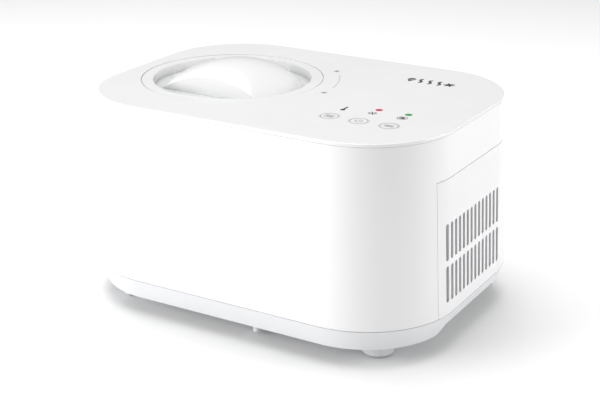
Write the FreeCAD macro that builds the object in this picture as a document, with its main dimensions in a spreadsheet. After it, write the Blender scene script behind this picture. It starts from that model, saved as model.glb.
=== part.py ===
import FreeCAD, Part
import math
import os
import re
import Sketcher
from FreeCAD import Vector

# Self-cooling ice cream maker, millimetres.
# Origin: middle of the footprint, on the table. +X towards the grille end,
# -Y towards the front, +Z up.

SIZES = {
    # housing
    "body_length": (385.0, "overall length"),
    "body_depth": (286.0, "overall depth"),
    "deck_height": (209.5, "table to top deck"),
    "corner_radius": (92.0, "vertical corners of the housing"),
    "wall_draft": (8.0, "how far each wall leans in at its top"),
    "shell_wall": (2.6, "housing wall"),
    "seam_height": (37.0, "table to the seam between tray and housing"),
    "seam_gap": (0.5, "gap at the seam"),
    # top cover
    "cover_rim": (3.0, "height of the cover's edge band"),
    "cover_thickness": (2.4, "deck thickness"),
    "shadow_gap": (0.25, "gap between cover and housing"),
    "edge_round": (1.2, "rounding of the deck edge"),
    "lip_gap": (0.4, "clearance of the cover's locating lip"),
    "lip_height": (4.0, "depth of the locating lip"),
    "lip_wall": (1.6, "thickness of the locating lip"),
    # base tray
    "skirt_bottom": (16.0, "table to the skirt's lower edge"),
    "skirt_inset": (8.0, "how far the skirt leans in at its lower edge"),
    "tray_floor": (24.0, "table to the underside of the tray floor"),
    "floor_thickness": (3.0, "tray floor"),
    "arch_half": (54.0, "half width of the raised edge at the grille end"),
    "arch_slope": (13.0, "run of the step beside the raised edge"),
    # feet
    "right_foot_x": (54.3, "end wall to the feet under the compressor end"),
    "right_foot_y": (49.0, "long walls to those feet"),
    "left_foot_x": (57.7, "end wall to the feet under the bowl end"),
    "left_foot_y": (39.0, "long walls to those feet"),
    "right_foot_radius": (18.0, "feet under the compressor end"),
    "left_foot_radius": (11.0, "feet under the bowl end"),
    "foot_taper": (3.0, "narrowing of a foot towards the table"),
    "foot_spigot": (5.0, "spigot of a foot in the tray floor"),
    "pip_x": (22.0, "small rest under the front edge"),
    "pip_inset": (26.0, "wall to that rest"),
    "pip_radius": (5.5, "small rest at the tray floor"),
    "pip_taper": (1.5, "narrowing of the small rest"),
    "pip_lift": (3.0, "table to the small rest"),
    "pad_height": (5.0, "rubber foot pad"),
    "pad_proud": (3.0, "how far a pad stands out of its foot"),
    "pad_margin": (2.0, "foot rim round a pad"),
    # lid
    "lid_offset": (78.0, "bowl axis, left of the middle"),
    "lid_flange": (9.1, "how far the lid's flange stands out of its dish"),
    "lid_gap": (1.0, "gap round the lid"),
    "lid_sink": (0.3, "lid top below the deck"),
    "flange_thickness": (2.0, "lid flange thickness"),
    "dish_depth": (10.7, "lid top to dish underside"),
    "dish_wall": (2.0, "dish wall and floor"),
    "window_ledge": (3.0, "ledge that holds the lid's window"),
    "seal_thickness": (2.2, "lid seal"),
    "seal_width": (2.4, "width of the lid seal"),
    "seal_setback": (0.6, "seal edge back from the opening under the lid"),
    "seat_wall": (2.5, "thickness of the lid seat"),
    "ledge_gap": (0.2, "lid flange above its ledge"),
    "handle_half": (42.5, "half width of the grip"),
    "handle_rise": (17.0, "grip crown above the deck"),
    "handle_dome": (95.0, "radius of the grip's crown along its length"),
    "handle_cross": (119.4, "half axis of the grip's crown across it"),
    "handle_wall": (2.6, "grip wall"),
    "grip_gap": (3.0, "ends of the grip to the dish wall"),
    "handle_round": (2.0, "rounding of the grip's long edges"),
    # buttons and lamps
    "button_x": (71.3, "first button"),
    "button_pitch": (30.1, "button spacing"),
    "button_y": (-69.0, "button row"),
    "button_radius": (9.3, "button cap"),
    "button_gap": (0.35, "gap round a cap"),
    "button_travel": (0.8, "press depth"),
    "collar_radius": (11.4, "flange that keeps a button in"),
    "collar_height": (1.6, "thickness of that flange"),
    "stem_radius": (2.0, "button stem"),
    "lamp_y": (-29.4, "indicator lamp row"),
    "lamp_radius": (3.4, "indicator window"),
    "lamp_gap": (0.1, "gap round an indicator window"),
    "led_radius": (1.9, "indicator lamp"),
    "led_height": (3.3, "indicator lamp"),
    "light_gap": (0.1, "lamp to its window"),
    "board_drop": (13.0, "deck to the underside of the control board"),
    "board_length": (94.0, "control board"),
    "board_depth": (66.0, "control board"),
    "board_y": (-50.5, "middle of the control board"),
    "board_edge": (5.0, "board edge to its fixings, front and back"),
    "board_side": (4.0, "board edge to its fixings, left and right"),
    "board_post": (3.0, "post under the cover"),
    "board_hole": (1.3, "screw hole in a board"),
    "small_head": (2.6, "head of a board screw"),
    "small_head_height": (1.8, "head of a board screw"),
    "switch_side": (6.0, "press switch case"),
    "switch_height": (2.6, "press switch case"),
    "plunger_radius": (1.7, "switch plunger"),
    "plunger_height": (1.1, "switch plunger"),
    "press_gap": (0.1, "pressed button stem above its plunger"),
    "collar_gap": (0.05, "button flange below the cover"),
    "board_thickness": (1.6, "circuit board"),
    # cold side
    "well_radius": (75.5, "inside of the fixed cooling well"),
    "well_wall": (1.2, "cooling well sheet"),
    "well_bottom": (80.0, "table to the well's underside"),
    "gasket_thickness": (1.5, "gasket between well and cover"),
    "gasket_width": (8.0, "width of the well's flange under the cover"),
    "tube_radius": (4.0, "evaporator tube"),
    "tube_pitch": (12.0, "evaporator ring spacing"),
    "tube_gap": (0.2, "evaporator to well"),
    "foam_gap": (1.5, "insulation round the evaporator"),
    "foam_wall": (11.6, "insulation"),
    "coil_start": (10.0, "well's underside to the first ring"),
    "coil_riser": (3.6, "tube that joins the rings"),
    "sensor_side": (4.0, "temperature sensor"),
    "sensor_width": (16.0, "temperature sensor"),
    "sensor_height": (8.0, "temperature sensor"),
    "sensor_rise": (60.0, "well's underside to the sensor"),
    "sensor_y": (-24.0, "temperature sensor"),
    "sensor_gap": (0.2, "sensor to the insulation"),
    "foam_floor": (6.0, "insulation under the well"),
    # bowl, paddle and drive
    "bowl_clearance": (1.0, "bowl inside the well"),
    "bowl_wall": (1.0, "bowl sheet"),
    "bowl_lip": (2.7, "how far the bowl's rim stands out"),
    "bowl_rim_gap": (0.8, "bowl rim inside the opening under the lid"),
    "sleeve_gap": (2.0, "bowl's centre sleeve round the shaft"),
    "sleeve_wall": (2.0, "bowl's centre sleeve"),
    "shaft_proud": (15.0, "shaft above the bowl's sleeve"),
    "bowl_gap": (1.8, "bowl above the well floor"),
    "shaft_radius": (6.0, "drive shaft"),
    "running_gap": (0.06, "radial clearance in a bearing"),
    "bush_wall": (3.5, "shaft bushes"),
    "bush_rim": (3.0, "flange of a bush"),
    "bush_rim_height": (1.5, "flange of a bush"),
    "shaft_bottom": (46.0, "table to the shaft's lower end"),
    "shaft_top": (145.0, "table to the shaft's upper end"),
    "square_size": (8.0, "across the shaft's square end"),
    "square_length": (18.0, "length of the square end"),
    "square_gap": (0.2, "clearance round the square end"),
    "hub_gap": (1.0, "paddle hub round the bowl's sleeve"),
    "hub_wall": (3.5, "paddle hub"),
    "hub_cap": (7.0, "hub above the shaft"),
    "hub_play": (0.8, "hub's socket above the shaft's end"),
    "hub_clear": (1.5, "hub's cavity above the sleeve"),
    "scraper_gap": (2.0, "scraper inside the bowl wall"),
    "arm_height": (7.0, "lowest paddle arm"),
    "paddle_gap": (1.5, "paddle above the bowl floor"),
    "paddle_height": (88.0, "height of the scraper blades"),
    "blade_thickness": (3.2, "paddle arms and blades"),
    "blade_width": (17.0, "width of an upright blade"),
    "gear_module": (1.25, "tooth module"),
    "gear_teeth": (56.0, "teeth on the drive gear"),
    "pinion_teeth": (14.0, "teeth on the motor pinion"),
    "gear_level": (63.0, "table to the drive gear's underside"),
    "gear_width": (8.0, "face width"),
    "tooth_tip": (0.9, "tooth above the pitch circle, in modules"),
    "tooth_root": (1.15, "tooth below the pitch circle, in modules"),
    "tooth_crest": (0.3, "half a tooth's width at its tip, in modules"),
    "tooth_foot": (0.98, "half a tooth's width at its root, in modules"),
    "tooth_sink": (0.4, "tooth inside the root disc"),
    "pinion_proud": (0.5, "pinion past each face of the drive gear"),
    "bracket_level": (57.0, "table to the underside of the gear bracket"),
    "bracket_thickness": (3.0, "gear bracket plate"),
    "bracket_half": (38.0, "half depth of the bracket"),
    "bracket_screw_x": (26.0, "bowl axis to the bracket's far screws"),
    "motor_screw_x": (36.0, "motor axis to the bracket's near screws"),
    "bracket_end": (8.0, "screw to the bracket's end"),
    "bracket_side": (7.0, "screw to the bracket's side"),
    "thread_depth": (12.0, "bracket screw in its pillar"),
    "pillar_radius": (5.0, "bracket pillar"),
    "motor_radius": (29.0, "paddle motor can"),
    "motor_height": (27.0, "paddle motor can height"),
    "motor_shaft": (3.0, "motor shaft"),
    "motor_nose": (1.5, "room round the motor shaft in the bracket"),
    # warm side
    "compressor_y": (40.0, "compressor centre"),
    "compressor_radius": (45.0, "compressor shell"),
    "compressor_bottom": (40.0, "table to the compressor shell"),
    "compressor_gap": (5.0, "compressor to the insulation"),
    "compressor_plate": (3.0, "plate under the compressor"),
    "mount_circle": (34.0, "compressor centre to its rubber mounts"),
    "mount_bolt": (3.0, "bolt in a rubber mount"),
    "mount_gap": (0.2, "clearance round that bolt"),
    "relay_length": (30.0, "start relay"),
    "relay_depth": (14.0, "start relay"),
    "relay_height": (34.0, "start relay"),
    "relay_rise": (40.0, "compressor's underside to its relay"),
    "relay_gap": (0.2, "relay to the compressor"),
    "fan_clearance": (7.0, "fan to the compressor"),
    "compressor_height": (122.0, "compressor shell"),
    "compressor_round": (16.0, "rounding of the compressor shell"),
    "grommet_radius": (9.0, "rubber mounts under the compressor"),
    "fan_depth": (25.0, "fan shroud depth"),
    "fan_side": (108.0, "fan shroud width and height"),
    "fan_radius": (47.0, "blade tip"),
    "fan_gap": (2.5, "tip clearance"),
    "fan_hub": (17.0, "fan hub"),
    "fan_strut": (3.0, "struts that hold the fan motor"),
    "fan_motor_length": (8.0, "fan motor"),
    "condenser_gap": (6.0, "condenser to the fan"),
    "fin_depth": (20.0, "condenser depth"),
    "fin_half": (56.0, "half length of the condenser"),
    "fin_height": (104.0, "condenser height"),
    "fin_bottom": (32.0, "table to the condenser"),
    "fin_pitch": (5.6, "fin spacing"),
    "fin_sheet": (0.5, "fin sheet"),
    "coil_radius": (3.0, "condenser tube"),
    # grille
    "panel_half": (75.7, "half width of the grille panel"),
    "panel_top": (167.0, "table to the grille panel's top"),
    "panel_gap": (0.5, "gap round the grille panel"),
    "slot_first": (-60.75, "first grille slot"),
    "slot_pitch": (8.68, "slot spacing"),
    "slot_width": (4.8, "slot width"),
    "slot_height": (35.3, "slot height"),
    "slot_bottom": (49.2, "table to the lower row"),
    "slot_rows": (5.0, "gap between the two rows"),
    "exhaust_x": (30.0, "first slot in the back wall"),
    "exhaust_rise": (30.0, "back slots above the lower grille row"),
    # cord inlet
    "gland_x": (40.0, "cord gland"),
    "gland_z": (60.0, "cord gland"),
    "gland_radius": (6.0, "cord gland body"),
    "gland_bore": (3.6, "hole for the cord"),
    "gland_flange": (3.0, "inner flange of the gland"),
    "gland_reach": (4.0, "gland inside the wall"),
    "gland_sink": (0.2, "gland's end inside the wall's face"),
    # fasteners
    "boss_radius": (5.0, "screw boss"),
    "boss_height": (26.0, "length of a screw boss"),
    "boss_inset": (15.5, "wall to screw boss"),
    "boss_x": (60.0, "screw bosses on the long walls"),
    "boss_y": (30.0, "screw bosses on the left wall"),
    "thread_gap": (0.05, "clearance round a thread"),
    "screw_length": (24.0, "base screw in its boss"),
    "head_height": (2.4, "screw head"),
    "screw_radius": (1.9, "screw shank"),
    "screw_head": (3.6, "screw head"),
    "screw_gap": (0.15, "clearance round a screw"),
    # power board
    "supply_x": (66.0, "middle of the power board"),
    "supply_inset": (58.0, "wall to the middle of the power board"),
    "supply_length": (88.0, "power board"),
    "supply_depth": (52.0, "power board"),
    "supply_post": (12.0, "height of the power board's posts"),
    "supply_post_radius": (4.0, "power board's posts"),
    "supply_edge": (5.0, "power board's edge to its screws"),
}
# Sizes that follow from those above, so that what fits together stays together.
TIED = {
    "bowl_radius": "well_radius - bowl_clearance",
    "bowl_rim": "bowl_radius + bowl_lip",
    "seat_opening": "bowl_rim + bowl_rim_gap",
    "seal_inner": "seat_opening + seal_setback",
    "dish_radius": "seal_inner + seal_width",
    "lid_radius": "dish_radius + lid_flange",
    "handle_end": "dish_radius - dish_wall - grip_gap",
    "well_flange": "seat_opening + gasket_width",
    "foam_inner": "well_radius + well_wall + tube_gap + 2 * tube_radius + foam_gap",
    "foam_radius": "foam_inner + foam_wall",
    "sleeve_inner": "shaft_radius + sleeve_gap",
    "sleeve_outer": "sleeve_inner + sleeve_wall",
    "sleeve_top": "shaft_top - shaft_proud",
    "hub_bore": "sleeve_outer + hub_gap",
    "hub_radius": "hub_bore + hub_wall",
    "hub_top": "shaft_top + hub_cap",
    "paddle_reach": "bowl_radius - bowl_wall - scraper_gap",
    "bush_radius": "shaft_radius + bush_wall",
    "bush_flange": "bush_radius + bush_rim",
    "board_level": "deck_height - board_drop",
    "compressor_x": "foam_radius - lid_offset + compressor_gap + compressor_radius",
    "fan_x": "compressor_x + compressor_radius + fan_clearance",
    "fin_x": "fan_x + fan_depth + condenser_gap",
}
SLOT_COLUMNS = 14
BACK_SLOTS = 12
FAN_BLADES = 7
FAN_PITCH_DEGREES = 32.0
EVAPORATOR_RINGS = 8
COIL_RUNS = 6

doc = FreeCAD.newDocument("IceCreamMaker")
sheet = doc.addObject("Spreadsheet::Sheet", "sizes")
for row, (alias, (number, note)) in enumerate(SIZES.items(), start=1):
    sheet.set("A%d" % row, alias)
    sheet.set("B%d" % row, str(number))
    sheet.set("C%d" % row, note)
    sheet.setAlias("B%d" % row, alias)
doc.recompute()

nodes = {}


def bound(text):
    """An expression in plain size names, tied to the sheet's cells."""
    def cell(match):
        word = match.group(0)
        if word in TIED:
            return "(" + bound(TIED[word]) + ")"
        return "sizes." + word if word in SIZES else word
    return re.sub(r"[a-z][a-z0-9_]*", cell, str(text))


def number(text):
    """The present value of an expression in size names."""
    sheet.set("E1", "=" + re.sub(r"\bsizes\.", "", bound(text)))
    doc.recompute([sheet])
    answer = sheet.get("E1")
    return float(getattr(answer, "Value", answer))


def node(name, obj):
    """Name an object as one finished piece."""
    obj.Label = name
    nodes[name] = obj
    return obj


def place(obj, x, y, z):
    for letter, text in (("x", x), ("y", y), ("z", z)):
        obj.setExpression("Placement.Base." + letter, bound(text))
    return obj


# ---- primitives -----------------------------------------------------------

TURNS = {
    "z": FreeCAD.Rotation(),
    "x": FreeCAD.Rotation(Vector(0, 1, 0), 90),
    "y": FreeCAD.Rotation(Vector(1, 0, 0), -90),
}


def cylinder(radius, length, x="0", y="0", z="0", along="z"):
    obj = doc.addObject("Part::Cylinder", "round_bar")
    obj.setExpression("Radius", bound(radius))
    obj.setExpression("Height", bound(length))
    obj.Placement = FreeCAD.Placement(Vector(), TURNS[along])
    return place(obj, x, y, z)


def cone(bottom, top, length, x, y, z):
    obj = doc.addObject("Part::Cone", "taper")
    obj.setExpression("Radius1", bound(bottom))
    obj.setExpression("Radius2", bound(top))
    obj.setExpression("Height", bound(length))
    return place(obj, x, y, z)


def block(size_x, size_y, size_z, x="0", y="0", z="0"):
    """A box centred on x and y, standing on z."""
    obj = doc.addObject("Part::Box", "block")
    obj.setExpression("Length", bound(size_x))
    obj.setExpression("Width", bound(size_y))
    obj.setExpression("Height", bound(size_z))
    return place(obj, "%s - (%s)/2" % (x, size_x), "%s - (%s)/2" % (y, size_y), z)


def ring(outer, inner, length, x="0", y="0", z="0", along="z"):
    return cut(cylinder(outer, length, x, y, z, along), cylinder(inner, length, x, y, z, along))


def dome(radius, across, x, y, z):
    """An ellipsoid, round when seen along Y."""
    obj = doc.addObject("Part::Ellipsoid", "dome")
    for name, text in (("Radius1", radius), ("Radius2", radius), ("Radius3", across)):
        obj.setExpression(name, bound(text))
    return place(obj, x, y, z)


def torus(radius, tube, x, y, z):
    obj = doc.addObject("Part::Torus", "hoop")
    obj.setExpression("Radius1", bound(radius))
    obj.setExpression("Radius2", bound(tube))
    return place(obj, x, y, z)


def fuse(*pieces):
    obj = doc.addObject("Part::MultiFuse", "joined")
    obj.Shapes = list(pieces)
    obj.Refine = True
    return obj


def common(*pieces):
    obj = doc.addObject("Part::MultiCommon", "shared")
    obj.Shapes = list(pieces)
    return obj


def cut(base, *tools):
    obj = doc.addObject("Part::Cut", "trimmed")
    obj.Base = base
    obj.Tool = tools[0] if len(tools) == 1 else fuse(*tools)
    obj.Refine = True
    return obj


def group(*pieces):
    """Separate solids that share one node."""
    obj = doc.addObject("Part::Compound", "set")
    obj.Links = list(pieces)
    return obj


def rounded(base, alias, wanted):
    """Round the edges of a piece that the test picks out."""
    doc.recompute()
    obj = doc.addObject("Part::Fillet", "softened")
    obj.Base = base
    radius = number(alias)
    edges = enumerate(base.Shape.Edges, start=1)
    obj.Edges = [(index, radius, radius) for index, edge in edges if wanted(edge)]
    return obj


def free_form(name, shape):
    """A piece whose shape is worked out from the sheet's sizes."""
    obj = doc.addObject("Part::Feature", name)
    obj.Shape = shape
    return node(name, obj)


# ---- sketches and bodies --------------------------------------------------

def origin_plane(body, role):
    for feature in body.Origin.OriginFeatures:
        if feature.Role == role:
            return feature
    raise ValueError(role)


def new_body(name, x="0", y="0", z="0"):
    body = doc.addObject("PartDesign::Body", name)
    return place(body, x, y, z)


def new_sketch(body, role, offset="0"):
    sketch = body.newObject("Sketcher::SketchObject", body.Name + "_outline")
    sketch.AttachmentSupport = (origin_plane(body, role), "")
    sketch.MapMode = "FlatFace"
    sketch.setExpression("AttachmentOffset.Base.z", bound(offset))
    return sketch


def pin(sketch, geometry, end, across, up):
    """Fix one end of a line or arc at a place given by expressions."""
    for kind, text in (("DistanceX", across), ("DistanceY", up)):
        sketch.addConstraint(Sketcher.Constraint(kind, -1, 1, geometry, end, number(text)))
        sketch.setExpression("Constraints[%d]" % (sketch.ConstraintCount - 1), bound(text))


def polygon(sketch, points):
    """A closed outline with straight sides."""
    spots = [Vector(number(across), number(up), 0) for across, up in points]
    lines = []
    for start, end in zip(spots, spots[1:] + spots[:1]):
        lines.append(sketch.addGeometry(Part.LineSegment(start, end), False))
    for line, following in zip(lines, lines[1:] + lines[:1]):
        sketch.addConstraint(Sketcher.Constraint("Coincident", line, 2, following, 1))
    for line, (across, up) in zip(lines, points):
        pin(sketch, line, 1, across, up)


def circle(sketch, across, up, radius):
    centre = Vector(number(across), number(up), 0)
    index = sketch.addGeometry(Part.Circle(centre, Vector(0, 0, 1), number(radius)), False)
    sketch.addConstraint(Sketcher.Constraint("Radius", index, number(radius)))
    sketch.setExpression("Constraints[%d]" % (sketch.ConstraintCount - 1), bound(radius))
    pin(sketch, index, 3, across, up)


def corner_arc(sketch, centre, radius, start_degrees):
    middle = Vector(number(centre[0]), number(centre[1]), 0)
    full = Part.Circle(middle, Vector(0, 0, 1), number(radius))
    start = math.radians(start_degrees)
    arc = Part.ArcOfCircle(full, start, start + math.pi / 2)
    return sketch.addGeometry(arc, False)


def rounded_rectangle(sketch, half_x, half_y, radius):
    """A rectangle about the origin whose corners are arcs."""
    inner_x = "(%s) - (%s)" % (half_x, radius)
    inner_y = "(%s) - (%s)" % (half_y, radius)
    minus = "-(%s)"
    sides = [
        ((inner_x, half_y), (minus % inner_x, half_y)),
        ((minus % half_x, inner_y), (minus % half_x, minus % inner_y)),
        ((minus % inner_x, minus % half_y), (inner_x, minus % half_y)),
        ((half_x, minus % inner_y), (half_x, inner_y)),
    ]
    centres = [
        (minus % inner_x, inner_y, 90),
        (minus % inner_x, minus % inner_y, 180),
        (inner_x, minus % inner_y, 270),
        (inner_x, inner_y, 0),
    ]
    lines = []
    for start, end in sides:
        ends = [Vector(number(across), number(up), 0) for across, up in (start, end)]
        lines.append(sketch.addGeometry(Part.LineSegment(*ends), False))
        pin(sketch, lines[-1], 1, *start)
        pin(sketch, lines[-1], 2, *end)
    for index, (across, up, start_degrees) in enumerate(centres):
        arc = corner_arc(sketch, (across, up), radius, start_degrees)
        following = lines[(index + 1) % len(lines)]
        sketch.addConstraint(Sketcher.Constraint("Coincident", lines[index], 2, arc, 1))
        sketch.addConstraint(Sketcher.Constraint("Coincident", arc, 2, following, 1))
        sketch.addConstraint(Sketcher.Constraint("Radius", arc, number(radius)))
        sketch.setExpression("Constraints[%d]" % (sketch.ConstraintCount - 1), bound(radius))


def upright_slot(sketch, across, bottom, width, height):
    """A slot with half-round ends, standing up."""
    radius = "(%s)/2" % width
    low = "(%s) + %s" % (bottom, radius)
    high = "(%s) + (%s) - %s" % (bottom, height, radius)
    reach = number(radius)
    lines = []
    for side, levels in ((1, (low, high)), (-1, (high, low))):
        spots = [Vector(number(across) + side * reach, number(one), 0) for one in levels]
        lines.append(sketch.addGeometry(Part.LineSegment(*spots), False))
    for index, (level, start_degrees) in enumerate(((high, 0), (low, 180))):
        full = Part.Circle(Vector(number(across), number(level), 0), Vector(0, 0, 1), reach)
        start = math.radians(start_degrees)
        arc = sketch.addGeometry(Part.ArcOfCircle(full, start, start + math.pi), False)
        sketch.addConstraint(Sketcher.Constraint("Coincident", lines[index], 2, arc, 1))
        sketch.addConstraint(Sketcher.Constraint("Coincident", arc, 2, lines[1 - index], 1))
        sketch.addConstraint(Sketcher.Constraint("Horizontal", arc, 1, arc, 3))
        sketch.addConstraint(Sketcher.Constraint("Horizontal", arc, 2, arc, 3))
        sketch.addConstraint(Sketcher.Constraint("Radius", arc, reach))
        sketch.setExpression("Constraints[%d]" % (sketch.ConstraintCount - 1), bound(radius))
        pin(sketch, arc, 3, across, level)


def pad(body, sketch, length):
    feature = body.newObject("PartDesign::Pad", body.Name + "_pad")
    feature.Profile = sketch
    feature.setExpression("Length", bound(length))
    return feature


def pocket(body, sketch, length=None, forward=False, both=False):
    """Cut a sketch out of a body; forward follows the sketch's own normal."""
    feature = body.newObject("PartDesign::Pocket", body.Name + "_pocket")
    feature.Profile = sketch
    if length is None:
        feature.Type = "ThroughAll"
    else:
        feature.setExpression("Length", bound(length))
    feature.Reversed = forward
    feature.Midplane = both
    return feature


def loft(body, kind, *sketches):
    feature = body.newObject("PartDesign::" + kind, body.Name + "_loft")
    feature.Profile = sketches[0]
    feature.Sections = list(sketches[1:])
    feature.Ruled = True
    return feature


def turned(name, profile, x="0", y="0", z="0"):
    """A piece turned about its own upright axis from (radius, height) points."""
    body = new_body(name, x, y, z)
    sketch = new_sketch(body, "XZ_Plane")
    polygon(sketch, profile)
    feature = body.newObject("PartDesign::Revolution", name + "_turn")
    feature.Profile = sketch
    feature.ReferenceAxis = (sketch, ["V_Axis"])
    feature.Angle = 360.0
    return node(name, body)


def at_bowl(name, profile):
    return turned(name, profile, x="-lid_offset")


# ---- shared levels --------------------------------------------------------

SLEEVE_BOTTOM = "seam_height + seam_gap"
SLEEVE_TOP = "deck_height - cover_rim - shadow_gap"
LID_TOP = "deck_height - lid_sink"
DISH_BOTTOM = "deck_height - lid_sink - dish_depth"
SEAT_TOP = "deck_height - lid_sink - dish_depth - seal_thickness"
SEAT_BOTTOM = "(" + SEAT_TOP + ") - seat_wall"
WELL_TOP = "(" + SEAT_BOTTOM + ") - gasket_thickness"
BOWL_FLOOR = "well_bottom + well_wall + bowl_gap"
TRAY_TOP = "tray_floor + floor_thickness"
GEAR_CENTRES = "gear_module * (gear_teeth + pinion_teeth) / 2"
MOTOR_X = "(-lid_offset) + " + GEAR_CENTRES
BOARD_TOP = "board_level + board_thickness"
PLUNGER_TOP = BOARD_TOP + " + switch_height + plunger_height"
BUTTON_HOLE = "button_radius + button_gap"
BUTTONS = ("mix_button", "power_button", "menu_button")


def button_x(index):
    return "(button_x + %d * button_pitch)" % index


def wall_y(height):
    """Distance from the middle to the outer face of the back wall at a height."""
    share = "((%s) - (%s)) / ((%s) - (%s))" % (height, SLEEVE_BOTTOM, SLEEVE_TOP, SLEEVE_BOTTOM)
    return "body_depth/2 - wall_draft * " + share


# ---- housing --------------------------------------------------------------

def footprint(inset):
    """Half length, half depth and corner radius of the outline, drawn in by a distance."""
    wholes = ("body_length/2", "body_depth/2", "corner_radius")
    return tuple("%s - (%s)" % (whole, inset) for whole in wholes)


def sleeve(name):
    """The four leaning walls, open at the top and the bottom."""
    body = new_body(name)
    outlines = []
    for inset in ("0", "shell_wall"):
        for level, lean in ((SLEEVE_BOTTOM, "0"), (SLEEVE_TOP, "wall_draft")):
            sketch = new_sketch(body, "XY_Plane", level)
            rounded_rectangle(sketch, *footprint("%s + %s" % (lean, inset)))
            outlines.append(sketch)
    loft(body, "AdditiveLoft", outlines[0], outlines[1])
    loft(body, "SubtractiveLoft", outlines[2], outlines[3])
    return body


def boss_places():
    long_wall = "(body_depth/2 - boss_inset)"
    end_wall = "-(body_length/2 - boss_inset)"
    places = [(x, sign + long_wall) for x in ("-boss_x", "boss_x") for sign in ("-", "")]
    return places + [(end_wall, y) for y in ("-boss_y", "boss_y")]


def make_housing():
    body = sleeve("housing_body")
    window = new_sketch(body, "YZ_Plane")
    low = "(%s) - 1" % SLEEVE_BOTTOM
    polygon(window, [
        ("-panel_half", low), ("panel_half", low),
        ("panel_half", "panel_top"), ("-panel_half", "panel_top"),
    ])
    pocket(body, window, forward=True)
    exhaust = new_sketch(body, "XZ_Plane")
    upright_slot(exhaust, "exhaust_x", "slot_bottom + exhaust_rise", "slot_width", "slot_height")
    first = pocket(body, exhaust, forward=False)
    row = body.newObject("PartDesign::LinearPattern", "exhaust_row")
    row.Originals = [first]
    row.Direction = (exhaust, ["H_Axis"])
    row.setExpression("Length", bound("slot_pitch * %d" % (BACK_SLOTS - 1)))
    row.Occurrences = BACK_SLOTS
    body.Tip = row
    through_wall = "body_depth/2 - boss_inset"
    gland = cylinder("gland_radius + screw_gap", "boss_height", "gland_x", through_wall, "gland_z", "y")
    walls = cut(body, gland)
    bosses = [cylinder("boss_radius", "boss_height", x, y, SLEEVE_BOTTOM) for x, y in boss_places()]
    reach = "boss_inset - shell_wall * 0.7"
    for x in ("-boss_x", "boss_x"):
        for sign in ("-", ""):
            y = "%s(body_depth/2 - boss_inset + (%s)/2)" % (sign, reach)
            bosses.append(block("shell_wall", reach, "boss_height", x, y, SLEEVE_BOTTOM))
    for y in ("-boss_y", "boss_y"):
        x = "-(body_length/2 - boss_inset + (%s)/2)" % reach
        bosses.append(block(reach, "shell_wall", "boss_height", x, y, SLEEVE_BOTTOM))
    thread = ("screw_radius + thread_gap", "boss_height - shell_wall")
    bores = [cylinder(*thread, x, y, SLEEVE_BOTTOM) for x, y in boss_places()]
    node("housing", cut(fuse(walls, *bosses), *bores))


def make_grille_panel():
    body = sleeve("grille_panel")
    frame = new_sketch(body, "YZ_Plane")
    side = "panel_half - panel_gap"
    polygon(frame, [
        ("-body_depth", "0"), ("body_depth", "0"),
        ("body_depth", "2 * deck_height"), ("-body_depth", "2 * deck_height"),
    ])
    polygon(frame, [
        ("-(%s)" % side, "1"), (side, "1"),
        (side, "panel_top - panel_gap"), ("-(%s)" % side, "panel_top - panel_gap"),
    ])
    pocket(body, frame, both=True)
    other_end = new_sketch(body, "XY_Plane")
    polygon(other_end, [
        ("-body_length", "-body_depth"), ("0", "-body_depth"),
        ("0", "body_depth"), ("-body_length", "body_depth"),
    ])
    pocket(body, other_end, forward=True)
    slot = new_sketch(body, "YZ_Plane")
    upright_slot(slot, "slot_first", "slot_bottom", "slot_width", "slot_height")
    first = pocket(body, slot, forward=True)
    grid = body.newObject("PartDesign::MultiTransform", "slot_grid")
    grid.Originals = [first]
    steps = []
    directions = (
        ("H_Axis", "slot_pitch * %d" % (SLOT_COLUMNS - 1), SLOT_COLUMNS),
        ("V_Axis", "slot_height + slot_rows", 2),
    )
    for axis, length, count in directions:
        step = body.newObject("PartDesign::LinearPattern", "slot_step")
        step.Direction = (slot, [axis])
        step.setExpression("Length", bound(length))
        step.Occurrences = count
        steps.append(step)
    grid.Transformations = steps
    body.Tip = grid
    node("grille_panel", body)


def make_base_tray():
    body = new_body("tray_body")
    outer = []
    for level, inset in (("skirt_bottom", "skirt_inset"), ("seam_height", "0")):
        sketch = new_sketch(body, "XY_Plane", level)
        rounded_rectangle(sketch, *footprint(inset))
        outer.append(sketch)
    loft(body, "AdditiveLoft", *outer)
    flare = "skirt_inset * (seam_height - tray_floor - floor_thickness) / (seam_height - skirt_bottom)"
    hollow = []
    for level, lean in ((TRAY_TOP, flare), ("seam_height", "0")):
        sketch = new_sketch(body, "XY_Plane", level)
        rounded_rectangle(sketch, *footprint("%s + shell_wall" % lean))
        hollow.append(sketch)
    loft(body, "SubtractiveLoft", *hollow)
    inner = footprint("skirt_inset + shell_wall")
    underside = new_sketch(body, "XY_Plane", "skirt_bottom")
    rounded_rectangle(underside, *inner)
    pocket(body, underside, "tray_floor - skirt_bottom", forward=True)
    arch = new_sketch(body, "YZ_Plane", "body_length/2 - corner_radius")
    polygon(arch, [
        ("-arch_half - arch_slope", "skirt_bottom - 1"), ("arch_half + arch_slope", "skirt_bottom - 1"),
        ("arch_half", "tray_floor"), ("-arch_half", "tray_floor"),
    ])
    pocket(body, arch, forward=True)
    rise = "seam_height - tray_floor"
    bosses = [cylinder("boss_radius", rise, x, y, "tray_floor") for x, y in boss_places()]
    clearance = ("screw_radius + screw_gap", rise)
    holes = [cylinder(*clearance, x, y, "tray_floor") for x, y in boss_places()]
    for radius, x, y in foot_places():
        holes.append(cylinder("foot_spigot", "floor_thickness", x, y, "tray_floor"))
    node("base_tray", cut(fuse(body, *bosses), *holes))


def foot_places():
    """Radius and place of each foot."""
    places = []
    for sign, side in (("", "right"), ("-", "left")):
        for hand in ("-", ""):
            x = "%s(body_length/2 - %s_foot_x)" % (sign, side)
            y = "%s(body_depth/2 - %s_foot_y)" % (hand, side)
            places.append((side + "_foot_radius", x, y))
    return places


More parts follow.
